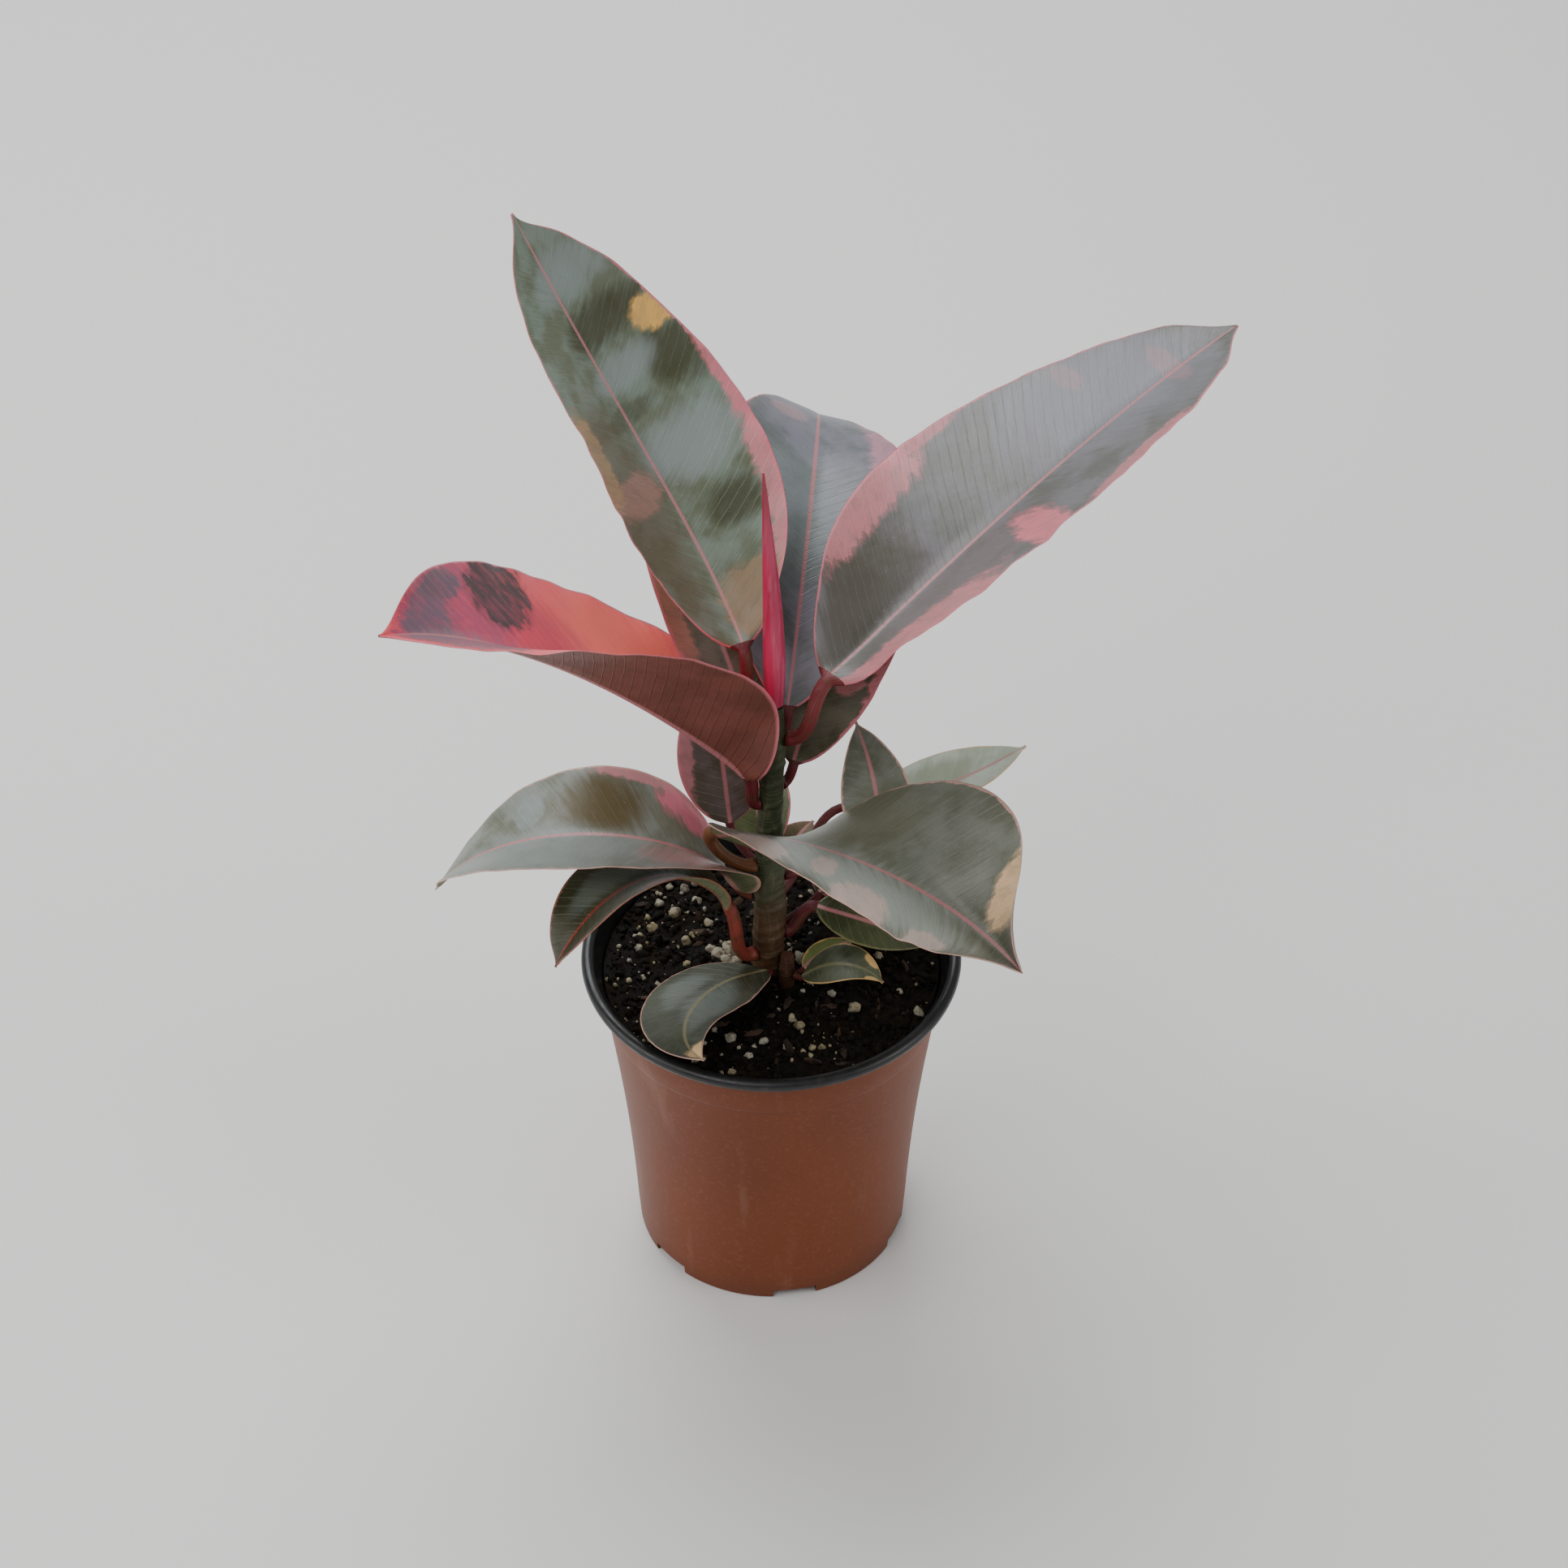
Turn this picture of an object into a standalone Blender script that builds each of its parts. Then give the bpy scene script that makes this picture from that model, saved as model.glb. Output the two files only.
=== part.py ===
"""A young variegated rubber plant in a nursery pot.

The pot stands on the XY plane with its axis on Z. Each leaf is one solid: a petiole that starts at
its node on a stem, and a blade that follows a curved midrib. Lengths are in metres.
"""
import math

import bmesh
import bpy
from mathutils import Matrix, Vector

MM = 0.001
GAP = 0.3 * MM  # clearance between pieces that touch

# Pot: overall sizes
RIM_DIAMETER = 120 * MM
POT_HEIGHT = 114 * MM
FOOT_DIAMETER = 87 * MM
# Pot: walls and details
WALL = 1.3 * MM
LIP_WIDTH = 3.4 * MM
LIP_HEIGHT = 4.0 * MM
COLLAR_HEIGHT = 19 * MM
COLLAR_STEP = 0.7 * MM
COLLAR_FLARE = 2.6 * MM
WALL_BELLY = 1.3 * MM
FOOT_HEIGHT = 5 * MM
FOOT_WIDTH = 3.2 * MM
FOOT_NOTCHES = 6
NOTCH_TURN = 40  # degrees from +X to the first notch
NOTCH_WIDTH = 14 * MM
NOTCH_HEIGHT = 3.5 * MM
DRAIN_HOLES = 6
DRAIN_DIAMETER = 8 * MM
DRAIN_CIRCLE = 56 * MM
PAD_DIAMETER = 22 * MM
WALL_BANDS = 5
POT_SIDES = 48

# Soil
SOIL_DEPTH_BELOW_RIM = 7 * MM
SOIL_LUMP = 1.1 * MM
SOIL_RINGS = 9
SOIL_SIDES = 36

# Stems: (x, y, height above the soil, radius) in mm from the soil to the top
BURIED = 24
STEM = (
    (-1, -2, 0, 4.5),
    (-0.5, -1, 30, 5),
    (-0.5, 0, 60, 4),
    (1, 0, 90, 3.5),
    (1, 0, 109, 3),
)
SIDE_SHOOT = (
    (5, -7.5, 0, 2.5),
    (5, -7.5, 6, 2.5),
    (5, -7.5, 12, 2),
)
STEM_SIDES = 16
SOCKET_CLEARANCE = 0.4 * MM
SOCKET_HEADROOM = 12 * MM

# New leaf, still rolled in its sheath
SHEATH = (
    (1, 0, 110, 3),
    (1, 0.5, 125, 3.5),
    (0.5, 1.5, 145, 3),
    (-0.5, 2.5, 165, 2),
    (-2, 4, 194, 0.3),
)

# Leaves
BLADE_THICKNESS = 0.9 * MM
TIP_WIDTH = 1.0 * MM
RING_SIDES = 12
STATION_SPACING = 9 * MM
PETIOLE_STATIONS = 5
PETIOLE_BEND = 0.35  # how far each end's direction carries along the petiole
BASE_TAPER = 0.12  # share of the blade over which the petiole thins out
BEAK = 0.55  # how much the outline is drawn in at the tip
BEAK_SHARE = 0.05  # share of the blade that the drawn-in tip takes up


class Form:
    """How a blade is shaped. Angles are in degrees, at the blade's base, middle and tip.

    fold: angle of each half above the flat blade; cup: how much it curves up to its margin
    outline: fullness at the base, taper at the tip, and how far out the blade is widest
    """

    def __init__(self, fold, cup, outline):
        self.fold = fold
        self.cup = cup
        self.outline = outline


OPEN = Form(fold=(12, 12, 10), cup=(5, 5, 5), outline=(0.6, 1.0, 1.6))
BROAD = Form(fold=(25, 15, 5), cup=(10, 5, 0), outline=(0.7, 1.0, 1.8))
TROUGH = Form(fold=(35, 15, 5), cup=(15, 5, 5), outline=(0.65, 0.7, 1.4))
BOAT = Form(fold=(55, 25, 30), cup=(10, 0, 5), outline=(0.5, 1.0, 1.9))
SLENDER = Form(fold=(20, 15, 10), cup=(10, 5, 5), outline=(0.45, 0.8, 1.4))
ROUNDED = Form(fold=(20, 15, 20), cup=(5, 5, 10), outline=(0.7, 0.9, 1.9))
CURLED = Form(fold=(-10, 15, 65), cup=(-5, 5, 20), outline=(0.55, 0.4, 1.6))
LAID = Form(fold=(5, 5, 20), cup=(0, 0, 10), outline=(0.6, 1.1, 1.6))


class Leaf:
    """One leaf. Angles are in degrees and are given at the blade's base, middle and tip.

    node: height above the soil where it leaves the stem; base: where the blade starts (mm)
    heading: compass angle of the midrib from +X; rise: its angle above the horizontal
    roll: tilt of the blade about the midrib
    """

    def __init__(self, name, node, base, length, width, heading, rise, roll, form,
                 petiole=1.6, shoot="main"):
        self.name = name
        self.node = node * MM + soil_level()
        self.base = Vector(base) * MM + Vector((0, 0, soil_level()))
        self.length = length * MM
        self.width = width * MM
        self.heading = heading
        self.rise = rise
        self.roll = roll
        self.form = form
        self.petiole = petiole * MM
        self.shoot = shoot


def soil_level():
    return POT_HEIGHT - SOIL_DEPTH_BELOW_RIM


LEAVES = (
    Leaf("leaf_top_left", 106, (-8, 2, 129), 150, 80,
         (110, 140, 150), (25, 50, 60), (-10, 15, -5), BROAD, petiole=2.0),
    Leaf("leaf_top_right", 96, (17, -2, 120), 170, 88,
         (50, 35, 30), (10, 25, 20), (10, -15, -15), TROUGH, petiole=2.2),
    Leaf("leaf_top_back", 89, (5, 9, 99), 135, 64,
         (80, 85, 90), (45, 15, -45), (5, 15, 20), BROAD, petiole=1.8),
    Leaf("leaf_folded_left", 71, (-7, -3, 83), 140, 86,
         (190, 190, 225), (50, 35, 25), (25, 25, -25), BOAT, petiole=2.0),
    Leaf("leaf_mid_right", 75, (7, 5, 81), 99, 45,
         (65, 60, 55), (50, 35, 5), (5, 0, 0), OPEN),
    Leaf("leaf_mid_left_back", 82, (-7, 7, 95), 76, 34,
         (120, 125, 130), (60, 40, 10), (-5, 0, 0), OPEN),
    Leaf("leaf_low_left", 31, (-10, 1, 33), 118, 50,
         (205, 180, 165), (65, 0, -60), (20, 0, 15), SLENDER),
    Leaf("leaf_drooping_left", 10, (-13, -9, 34), 76, 36,
         (180, 215, 230), (65, 5, -45), (15, 20, 20), ROUNDED, petiole=2.1),
    Leaf("leaf_low_right", 46, (-17, -8, 65), 110, 74,
         (-30, -20, -60), (25, -15, -5), (-60, -5, 35), CURLED, petiole=2.0),
    Leaf("leaf_small_back_left", 40, (-13, 17, 46), 52, 28,
         (120, 110, 100), (80, 70, 45), (-15, -25, -30), OPEN, petiole=1.4),
    Leaf("leaf_small_back_right", 38, (33, 15, 37), 47, 23,
         (120, 125, 125), (100, 75, 50), (-20, -30, -35), OPEN, petiole=1.4),
    Leaf("leaf_pale_right", 29, (24, 30, 41), 62, 26,
         (-20, 0, 20), (20, 25, 25), (-5, 0, 5), OPEN, petiole=1.4),
    Leaf("leaf_dark_right_back", 17, (15, 13, 19), 46, 25,
         (50, 50, 45), (20, 10, -10), (0, 0, 0), OPEN, petiole=1.3),
    Leaf("leaf_olive_back", 20, (1, 12, 23), 30, 15,
         (75, 65, 55), (20, 10, -10), (0, 0, 0), OPEN, petiole=1.2),
    Leaf("leaf_under_right", 16, (14, 1, 25), 40, 20,
         (-10, -5, 5), (-10, -20, -25), (30, 20, 10), OPEN, petiole=1.9),
    Leaf("leaf_baby_right", 3, (10, -5, 4), 19, 9,
         (40, 30, 20), (20, 10, -5), (0, 0, 0), OPEN, petiole=0.8, shoot="side"),
    Leaf("leaf_soil_right", 5, (10, -11, 6), 30, 16,
         (-5, -20, -35), (50, 15, -30), (0, 10, 5), LAID, petiole=0.9, shoot="side"),
    Leaf("leaf_soil_left", 4, (-1, -10, 7), 64, 34,
         (205, 245, 315), (20, 5, 20), (20, 15, 15), LAID, petiole=1.1),
    Leaf("leaf_green_back", 31, (-2, 14, 35), 42, 22,
         (100, 100, 105), (30, 15, -10), (0, 0, 0), OPEN, petiole=1.2),
)


def clear_scene():
    for item in list(bpy.data.objects):
        bpy.data.objects.remove(item, do_unlink=True)


def material(name, colour, roughness, metallic=0.0):
    made = bpy.data.materials.new(name)
    made.use_nodes = True
    shader = made.node_tree.nodes["Principled BSDF"]
    shader.inputs["Base Color"].default_value = (*colour, 1.0)
    shader.inputs["Roughness"].default_value = roughness
    shader.inputs["Metallic"].default_value = metallic
    return made


def new_object(name, bm, made_material, smooth_below=40):
    """Turn a closed bmesh into an object with outward faces and smooth shading."""
    bmesh.ops.recalc_face_normals(bm, faces=bm.faces)
    if bm.calc_volume(signed=True) < 0:
        bmesh.ops.reverse_faces(bm, faces=bm.faces)
    mesh = bpy.data.meshes.new(name)
    bm.to_mesh(mesh)
    bm.free()
    mesh.shade_smooth()
    mesh.set_sharp_from_angle(angle=math.radians(smooth_below))
    mesh.materials.append(made_material)
    item = bpy.data.objects.new(name, mesh)
    bpy.context.collection.objects.link(item)
    return item


def cut(item, cutter):
    """Subtract a hidden cutter object from an object."""
    cutter.hide_render = True
    cutter.display_type = "WIRE"
    modifier = item.modifiers.new("cut", "BOOLEAN")
    modifier.operation = "DIFFERENCE"
    modifier.solver = "EXACT"
    modifier.object = cutter


def wall_radius(height):
    """Outer radius of the pot's wall: straight taper with a slight belly and a flared collar."""
    foot = FOOT_DIAMETER / 2
    step_height = POT_HEIGHT - COLLAR_HEIGHT
    top = RIM_DIAMETER / 2 - LIP_WIDTH - WALL - COLLAR_FLARE
    share = min(height / step_height, 1.0)
    radius = foot + (top - foot) * share - WALL_BELLY * math.sin(math.pi * share)
    if height > step_height:
        along = (height - step_height) / (COLLAR_HEIGHT - LIP_HEIGHT)
        radius += COLLAR_STEP + (COLLAR_FLARE - COLLAR_STEP) * min(along, 1.0)
    return radius


def wall_levels():
    """Heights of the wall's rings, from above the foot to just below the collar's step."""
    top = POT_HEIGHT - COLLAR_HEIGHT - 0.4 * MM
    return [FOOT_HEIGHT + (top - FOOT_HEIGHT) * band / WALL_BANDS for band in range(1, WALL_BANDS + 1)]


def inner_radius(height):
    return wall_radius(height) - WALL


def turned(profile, sides):
    """Spin a closed (radius, height) outline once round Z. Points at radius 0 meet on the axis."""
    bm = bmesh.new()
    points = [bm.verts.new((radius, 0, height)) for radius, height in profile]
    edges = [bm.edges.new(pair) for pair in zip(points, points[1:])]
    if profile[0][0] > 0:
        edges.append(bm.edges.new((points[-1], points[0])))
    bmesh.ops.spin(bm, geom=points + edges, axis=(0, 0, 1), cent=(0, 0, 0),
                   steps=sides, angle=math.tau, use_merge=True)
    bmesh.ops.remove_doubles(bm, verts=bm.verts, dist=1e-6)
    return bm


def rod_cutter(radius, centre, depth):
    bm = bmesh.new()
    bmesh.ops.create_cone(bm, cap_ends=True, segments=20, radius1=radius, radius2=radius, depth=depth)
    bmesh.ops.translate(bm, verts=bm.verts, vec=centre)
    return bm


def join(parts):
    """Put several closed bmeshes that don't touch into one."""
    whole = bmesh.new()
    for part in parts:
        mesh = bpy.data.meshes.new("part")
        part.to_mesh(mesh)
        part.free()
        whole.from_mesh(mesh)
        bpy.data.meshes.remove(mesh)
    return whole


def make_pot():
    """Rolled rim, collar with a step, tapered wall, floor, foot ring and centre pad."""
    rim = RIM_DIAMETER / 2
    lip_inner = rim - LIP_WIDTH - WALL
    step = POT_HEIGHT - COLLAR_HEIGHT
    lip_bottom = POT_HEIGHT - LIP_HEIGHT
    floor_top = FOOT_HEIGHT + WALL
    wall_heights = wall_levels()
    foot_inner = wall_radius(0) - FOOT_WIDTH
    pad = PAD_DIAMETER / 2
    profile = [(0, 0), (pad, 0), (pad + 1 * MM, FOOT_HEIGHT), (foot_inner - 1 * MM, FOOT_HEIGHT)]
    profile += [(foot_inner, 0), (wall_radius(0) - 0.8 * MM, 0)]
    profile += [(wall_radius(1 * MM) - 0.2 * MM, 1 * MM), (wall_radius(FOOT_HEIGHT), FOOT_HEIGHT)]
    profile += [(wall_radius(height), height) for height in wall_heights]
    profile += [(wall_radius(step + 0.6 * MM), step + 0.6 * MM)]
    profile += [(wall_radius(lip_bottom) - 0.3 * MM, lip_bottom - 1.4 * MM)]
    profile += [(wall_radius(lip_bottom) + 0.5 * MM, lip_bottom)]
    profile += [(rim - 1.3 * MM, lip_bottom), (rim - 0.3 * MM, lip_bottom + 1.0 * MM)]
    profile += [(rim, lip_bottom + 2.0 * MM), (rim - 0.4 * MM, POT_HEIGHT - 0.8 * MM)]
    profile += [(rim - 1.5 * MM, POT_HEIGHT), (lip_inner + 0.8 * MM, POT_HEIGHT - 0.2 * MM)]
    profile += [(lip_inner, POT_HEIGHT - 1.2 * MM), (inner_radius(lip_bottom), lip_bottom - 0.6 * MM)]
    profile += [(inner_radius(height), height) for height in reversed(wall_heights[1:])]
    profile += [(inner_radius(floor_top) - 2 * MM, floor_top), (0, floor_top)]
    pot = new_object("pot", turned(profile, POT_SIDES), material("terracotta_plastic",
                                                                   (0.42, 0.17, 0.10), 0.55))

    notches = []
    for index in range(FOOT_NOTCHES):
        angle = math.radians(NOTCH_TURN) + math.tau * index / FOOT_NOTCHES
        bm = bmesh.new()
        bmesh.ops.create_cube(bm, size=1.0)
        bmesh.ops.scale(bm, verts=bm.verts, vec=(FOOT_WIDTH * 4, NOTCH_WIDTH, NOTCH_HEIGHT * 2))
        bmesh.ops.translate(bm, verts=bm.verts, vec=(wall_radius(0) - FOOT_WIDTH / 2, 0, 0))
        bmesh.ops.rotate(bm, verts=bm.verts, cent=(0, 0, 0), matrix=Matrix.Rotation(angle, 3, "Z"))
        notches.append(bm)
    cut(pot, new_object("notch_cutter", join(notches), pot.data.materials[0]))

    drains = []
    for index in range(DRAIN_HOLES):
        angle = math.tau * index / DRAIN_HOLES
        spot = Vector((math.cos(angle), math.sin(angle), 0)) * DRAIN_CIRCLE / 2
        spot.z = FOOT_HEIGHT + WALL / 2
        drains.append(rod_cutter(DRAIN_DIAMETER / 2, spot, WALL * 4))
    cut(pot, new_object("drain_cutter", join(drains), pot.data.materials[0]))


def soil_bump(x, y):
    """Uneven surface, up or down from the soil level."""
    waves = math.sin(x * 190 + 1.3) * math.cos(y * 170 + 0.4) + 0.6 * math.sin(x * 410 + y * 330)
    return SOIL_LUMP * waves / 1.6


def make_soil():
    """A plug that follows the pot's inside, with a lumpy top and sockets for the stems."""
    floor_top = FOOT_HEIGHT + WALL
    level = soil_level()
    profile = [(0, floor_top + GAP), (inner_radius(floor_top) - 3 * MM, floor_top + GAP)]
    profile += [(inner_radius(height) - 2 * GAP, height) for height in wall_levels()[1:]]
    edge = inner_radius(level) - 2 * GAP
    profile += [(edge, level)]
    profile += [(edge * (SOIL_RINGS - ring) / SOIL_RINGS, level) for ring in range(1, SOIL_RINGS + 1)]
    bm = turned(profile, SOIL_SIDES)
    for vert in bm.verts:
        if vert.co.z > level - 1e-5:
            fade = min(1.0, (edge - vert.co.xy.length) / (4 * MM))
            vert.co.z += soil_bump(vert.co.x, vert.co.y) * fade
    soil = new_object("soil", bm, material("peat", (0.03, 0.02, 0.015), 0.95))

    sockets = []
    for line in (STEM, SIDE_SHOOT):
        foot, radius = line_rows(line)[0]
        depth = BURIED * MM + GAP + SOCKET_HEADROOM
        centre = foot + Vector((0, 0, depth / 2 - BURIED * MM - GAP))
        sockets.append(rod_cutter(radius + SOCKET_CLEARANCE, centre, depth))
    cut(soil, new_object("socket_cutter", join(sockets), soil.data.materials[0]))


def frame_at(tangent, side):
    """Two unit vectors square to the tangent, the first as near to side as it can be."""
    across = (side - tangent * side.dot(tangent)).normalized()
    return across, tangent.cross(across)


def loft(rings):
    """A closed tube through rings of equal point counts: a grid rolled up, welded and capped.

    Opposite halves are split along matching diagonals, so that a thin twisted blade keeps its gap.
    """
    sides = len(rings[0])
    bm = bmesh.new()
    bmesh.ops.create_grid(bm, x_segments=sides, y_segments=len(rings) - 1, size=0.5)
    upper = [face for face in bm.faces if face.calc_center_median().x < 0]
    lower = [face for face in bm.faces if face.calc_center_median().x > 0]
    bmesh.ops.triangulate(bm, faces=upper, quad_method="FIXED")
    bmesh.ops.triangulate(bm, faces=lower, quad_method="ALTERNATE")
    for vert in bm.verts:
        column = round((vert.co.x + 0.5) * sides) % sides
        row = round((vert.co.y + 0.5) * (len(rings) - 1))
        vert.co = rings[row][column]
    bmesh.ops.remove_doubles(bm, verts=bm.verts, dist=1e-6)
    bmesh.ops.holes_fill(bm, edges=[edge for edge in bm.edges if edge.is_boundary])
    return bm


def round_ring(centre, across, upward, radius, sides):
    ring = []
    for index in range(sides):
        angle = math.tau * index / sides
        ring.append(centre + across * radius * math.cos(angle) + upward * radius * math.sin(angle))
    return ring


def line_rows(line):
    """Centres and radii in metres of a stem or sheath that starts at the soil."""
    level = Vector((0, 0, soil_level()))
    return [(Vector((x, y, z)) * MM + level, radius * MM) for x, y, z, radius in line]


def line_at(line, height):
    """Centre and radius of a stem at a height."""
    rows = line_rows(line)
    for (low, low_radius), (high, high_radius) in zip(rows, rows[1:]):
        if height <= high.z:
            share = max(0.0, (height - low.z) / (high.z - low.z))
            return low.lerp(high, share), low_radius + (high_radius - low_radius) * share
    return rows[-1]


def make_tube(name, line, made_material, buried=0.0):
    """A stem or sheath through its line, with an optional straight end in the soil."""
    rows = line_rows(line)
    if buried:
        first, radius = rows[0]
        rows.insert(0, (first - Vector((0, 0, buried * MM)), radius * 0.8))
    rings = []
    for centre, radius in rows:
        rings.append(round_ring(centre, Vector((1, 0, 0)), Vector((0, 1, 0)), radius, STEM_SIDES))
    return new_object(name, loft(rings), made_material)


def at(values, share):
    """Value at a share of the blade, on the parabola through its base, middle and tip values."""
    base, middle, tip = values
    rest = 1 - share
    return base * rest * (1 - 2 * share) + 4 * middle * share * rest + tip * share * (2 * share - 1)


def half_width(leaf, share):
    """Half the blade's width: fullness and taper shape a curve whose peak is the leaf's width."""
    fullness, taper, spread = leaf.form.outline
    peak = (fullness / (fullness + taper * spread)) ** (1 / spread)

    def curve(value):
        return value ** fullness * max(0.0, 1 - value ** spread) ** taper

    beak = 1 - BEAK * math.exp(-((1 - share) / BEAK_SHARE) ** 2)
    blade = leaf.width / 2 * curve(share) / curve(peak) * beak
    return max(blade, leaf.petiole * (1 - share), TIP_WIDTH / 2)


def half_section(reach, fold, cup):
    """How far out and up a half blade is at a reach from 0 at the midrib to 1 at the margin."""
    if abs(cup) < 1e-3:
        return reach * math.cos(fold), reach * math.sin(fold)
    out = (math.sin(fold + cup * reach) - math.sin(fold)) / cup
    up = (math.cos(fold) - math.cos(fold + cup * reach)) / cup
    return out, up


def midrib(leaf, share):
    """Unit vectors along, across and up from the blade at a share of its length."""
    heading = math.radians(at(leaf.heading, share))
    rise = math.radians(at(leaf.rise, share))
    roll = math.radians(at(leaf.roll, share))
    along = Vector((math.cos(rise) * math.cos(heading), math.cos(rise) * math.sin(heading), math.sin(rise)))
    level = Vector((-math.sin(heading), math.cos(heading), 0))
    square = along.cross(level)
    across = level * math.cos(roll) + square * math.sin(roll)
    return along, across, square * math.cos(roll) - level * math.sin(roll)


def blade_rings(leaf):
    """Flat rings along the blade, folded and cupped about the midrib."""
    rings = []
    steps = 4
    stations = max(8, round(leaf.length / STATION_SPACING))
    centre = leaf.base.copy()
    for station in range(stations + 1):
        share = (1 - math.cos(math.pi * station / stations)) / 2
        following = (1 - math.cos(math.pi * (station + 1) / stations)) / 2
        along, across, up = midrib(leaf, share)
        width = half_width(leaf, share)
        fold = math.radians(at(leaf.form.fold, share))
        cup = math.radians(at(leaf.form.cup, share))
        spare = max(0.0, 1 - share / BASE_TAPER) ** 2
        thickness = BLADE_THICKNESS / 2 + (leaf.petiole - BLADE_THICKNESS / 2) * spare
        thickness = min(thickness, width / 4)
        ring = []
        for index in range(RING_SIDES):
            angle = math.tau * index / RING_SIDES
            reach = math.cos(angle)
            out, lift = half_section(abs(reach), fold * (1 - spare), cup * (1 - spare))
            side = math.copysign(1, reach)
            lean = (fold + cup * abs(reach)) * (1 - spare) * min(1.0, abs(reach) * 2)
            normal = up * math.cos(lean) - across * side * math.sin(lean)
            point = centre + (across * side * out + up * lift) * width
            ring.append(point + normal * thickness * math.sin(angle))
        rings.append(ring)
        for step in range(steps):
            part = share + (following - share) * (step + 0.5) / steps
            centre = centre + midrib(leaf, part)[0] * leaf.length * (following - share) / steps
    return rings


def petiole_rings(leaf):
    """Round rings from the stem's surface to the blade, square to the stem where they start."""
    line = STEM if leaf.shoot == "main" else SIDE_SHOOT
    axis, radius = line_at(line, leaf.node)
    outward = (leaf.base - axis).to_3d()
    outward.z = 0
    outward.normalize()
    start = axis + outward * (radius + GAP)
    along, across, up = midrib(leaf, 0.0)
    stretch = (leaf.base - start).length * PETIOLE_BEND
    controls = (start, start + outward * stretch, leaf.base - along * stretch, leaf.base)
    side = Vector((-outward.y, outward.x, 0))
    if side.dot(across) < 0:
        side = -side
    rings = []
    for station in range(PETIOLE_STATIONS):
        share = station / PETIOLE_STATIONS
        spot, tangent = bezier(controls, share)
        first, second = frame_at(tangent, side.lerp(across, share))
        if station == 0:
            first, second = frame_at(outward, side)
        rings.append(round_ring(spot, first, second, leaf.petiole, RING_SIDES))
    return rings


def bezier(controls, share):
    a, b, c, d = controls
    rest = 1 - share
    spot = a * rest ** 3 + b * 3 * rest ** 2 * share + c * 3 * rest * share ** 2 + d * share ** 3
    tangent = (b - a) * rest ** 2 + (c - b) * 2 * rest * share + (d - c) * share ** 2
    return spot, tangent.normalized()


def make_leaf(leaf, made_material):
    return new_object(leaf.name, loft(petiole_rings(leaf) + blade_rings(leaf)), made_material, 60)


def main():
    clear_scene()
    make_pot()
    make_soil()
    make_tube("main_stem", STEM, material("stem_bark", (0.12, 0.10, 0.05), 0.6), BURIED)
    make_tube("side_shoot", SIDE_SHOOT, material("shoot_bark", (0.10, 0.05, 0.03), 0.6), BURIED)
    make_tube("new_leaf_sheath", SHEATH, material("crimson_sheath", (0.35, 0.03, 0.06), 0.4))
    for leaf in LEAVES:
        make_leaf(leaf, material(leaf.name + "_skin", (0.16, 0.18, 0.13), 0.35))


main()
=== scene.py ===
# %% [markdown]
# # A potted rubber plant
#
# This notebook dresses the frame of a young variegated rubber plant. The frame gives every size and
# place. Each step below makes one kind of piece: the pot, the peat with its perlite, the stems, the
# rolled new leaf, and then the leaves, which carry most of the colour.

# %% [markdown]
# ## Load the frame
#
# The frame is the part as it was designed. Its pieces are kept, so that their boxes can be read, and
# each leaf's top is set against the frame's at the end.

# %% Load the frame
import math
import random

import bmesh
import bpy
from mathutils import Matrix, Vector, noise


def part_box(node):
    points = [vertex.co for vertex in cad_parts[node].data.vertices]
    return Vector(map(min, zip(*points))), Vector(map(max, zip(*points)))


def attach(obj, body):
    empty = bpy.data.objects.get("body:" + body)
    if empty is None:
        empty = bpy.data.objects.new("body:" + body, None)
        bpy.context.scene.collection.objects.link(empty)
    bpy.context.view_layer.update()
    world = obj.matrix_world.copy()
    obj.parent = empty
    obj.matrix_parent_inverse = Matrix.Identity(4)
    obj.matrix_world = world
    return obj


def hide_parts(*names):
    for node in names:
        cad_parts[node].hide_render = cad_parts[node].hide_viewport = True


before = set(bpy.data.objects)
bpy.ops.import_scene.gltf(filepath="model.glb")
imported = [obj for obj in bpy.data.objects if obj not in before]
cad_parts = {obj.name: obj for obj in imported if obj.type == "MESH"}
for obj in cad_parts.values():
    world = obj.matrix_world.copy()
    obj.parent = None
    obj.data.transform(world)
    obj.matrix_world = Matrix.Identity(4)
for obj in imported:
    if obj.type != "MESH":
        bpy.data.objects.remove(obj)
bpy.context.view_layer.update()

MM = 0.001

# %% [markdown]
# ## Camera
#
# The camera looks steeply down on the plant, from the front. A short lens close by would make the
# pot's sides run together, so a long lens stands further off. Distance, elevation and aim are
# written as plain values, and the place and the tilt are worked out from them.

# %% Place the camera
CAMERA_AIM = Vector((0.004, 0, 0.184))
CAMERA_DISTANCE = 1.45
CAMERA_ELEVATION = 41.5  # degrees above the horizon
CAMERA_LENS = 109
SENSOR_WIDTH = 36


def place_camera():
    camera = bpy.data.objects.new("camera", bpy.data.cameras.new("camera"))
    camera.data.lens = CAMERA_LENS
    camera.data.sensor_width = SENSOR_WIDTH
    tilt = math.radians(CAMERA_ELEVATION)
    camera.location = CAMERA_AIM + Vector((0, -math.cos(tilt), math.sin(tilt))) * CAMERA_DISTANCE
    camera.rotation_euler = (math.pi / 2 - tilt, 0, 0)
    bpy.context.collection.objects.link(camera)
    bpy.context.scene.camera = camera


place_camera()
print("camera", CAMERA_DISTANCE, "m away,", CAMERA_ELEVATION, "degrees up, lens", CAMERA_LENS)


# %% [markdown]
# ## Light
#
# Waxy leaves show light as a broad sheen, and only large lights make one. Small lights would give hard
# bright dots. So four square area lights stand round the plant, and the world adds a little pale fill.


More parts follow.
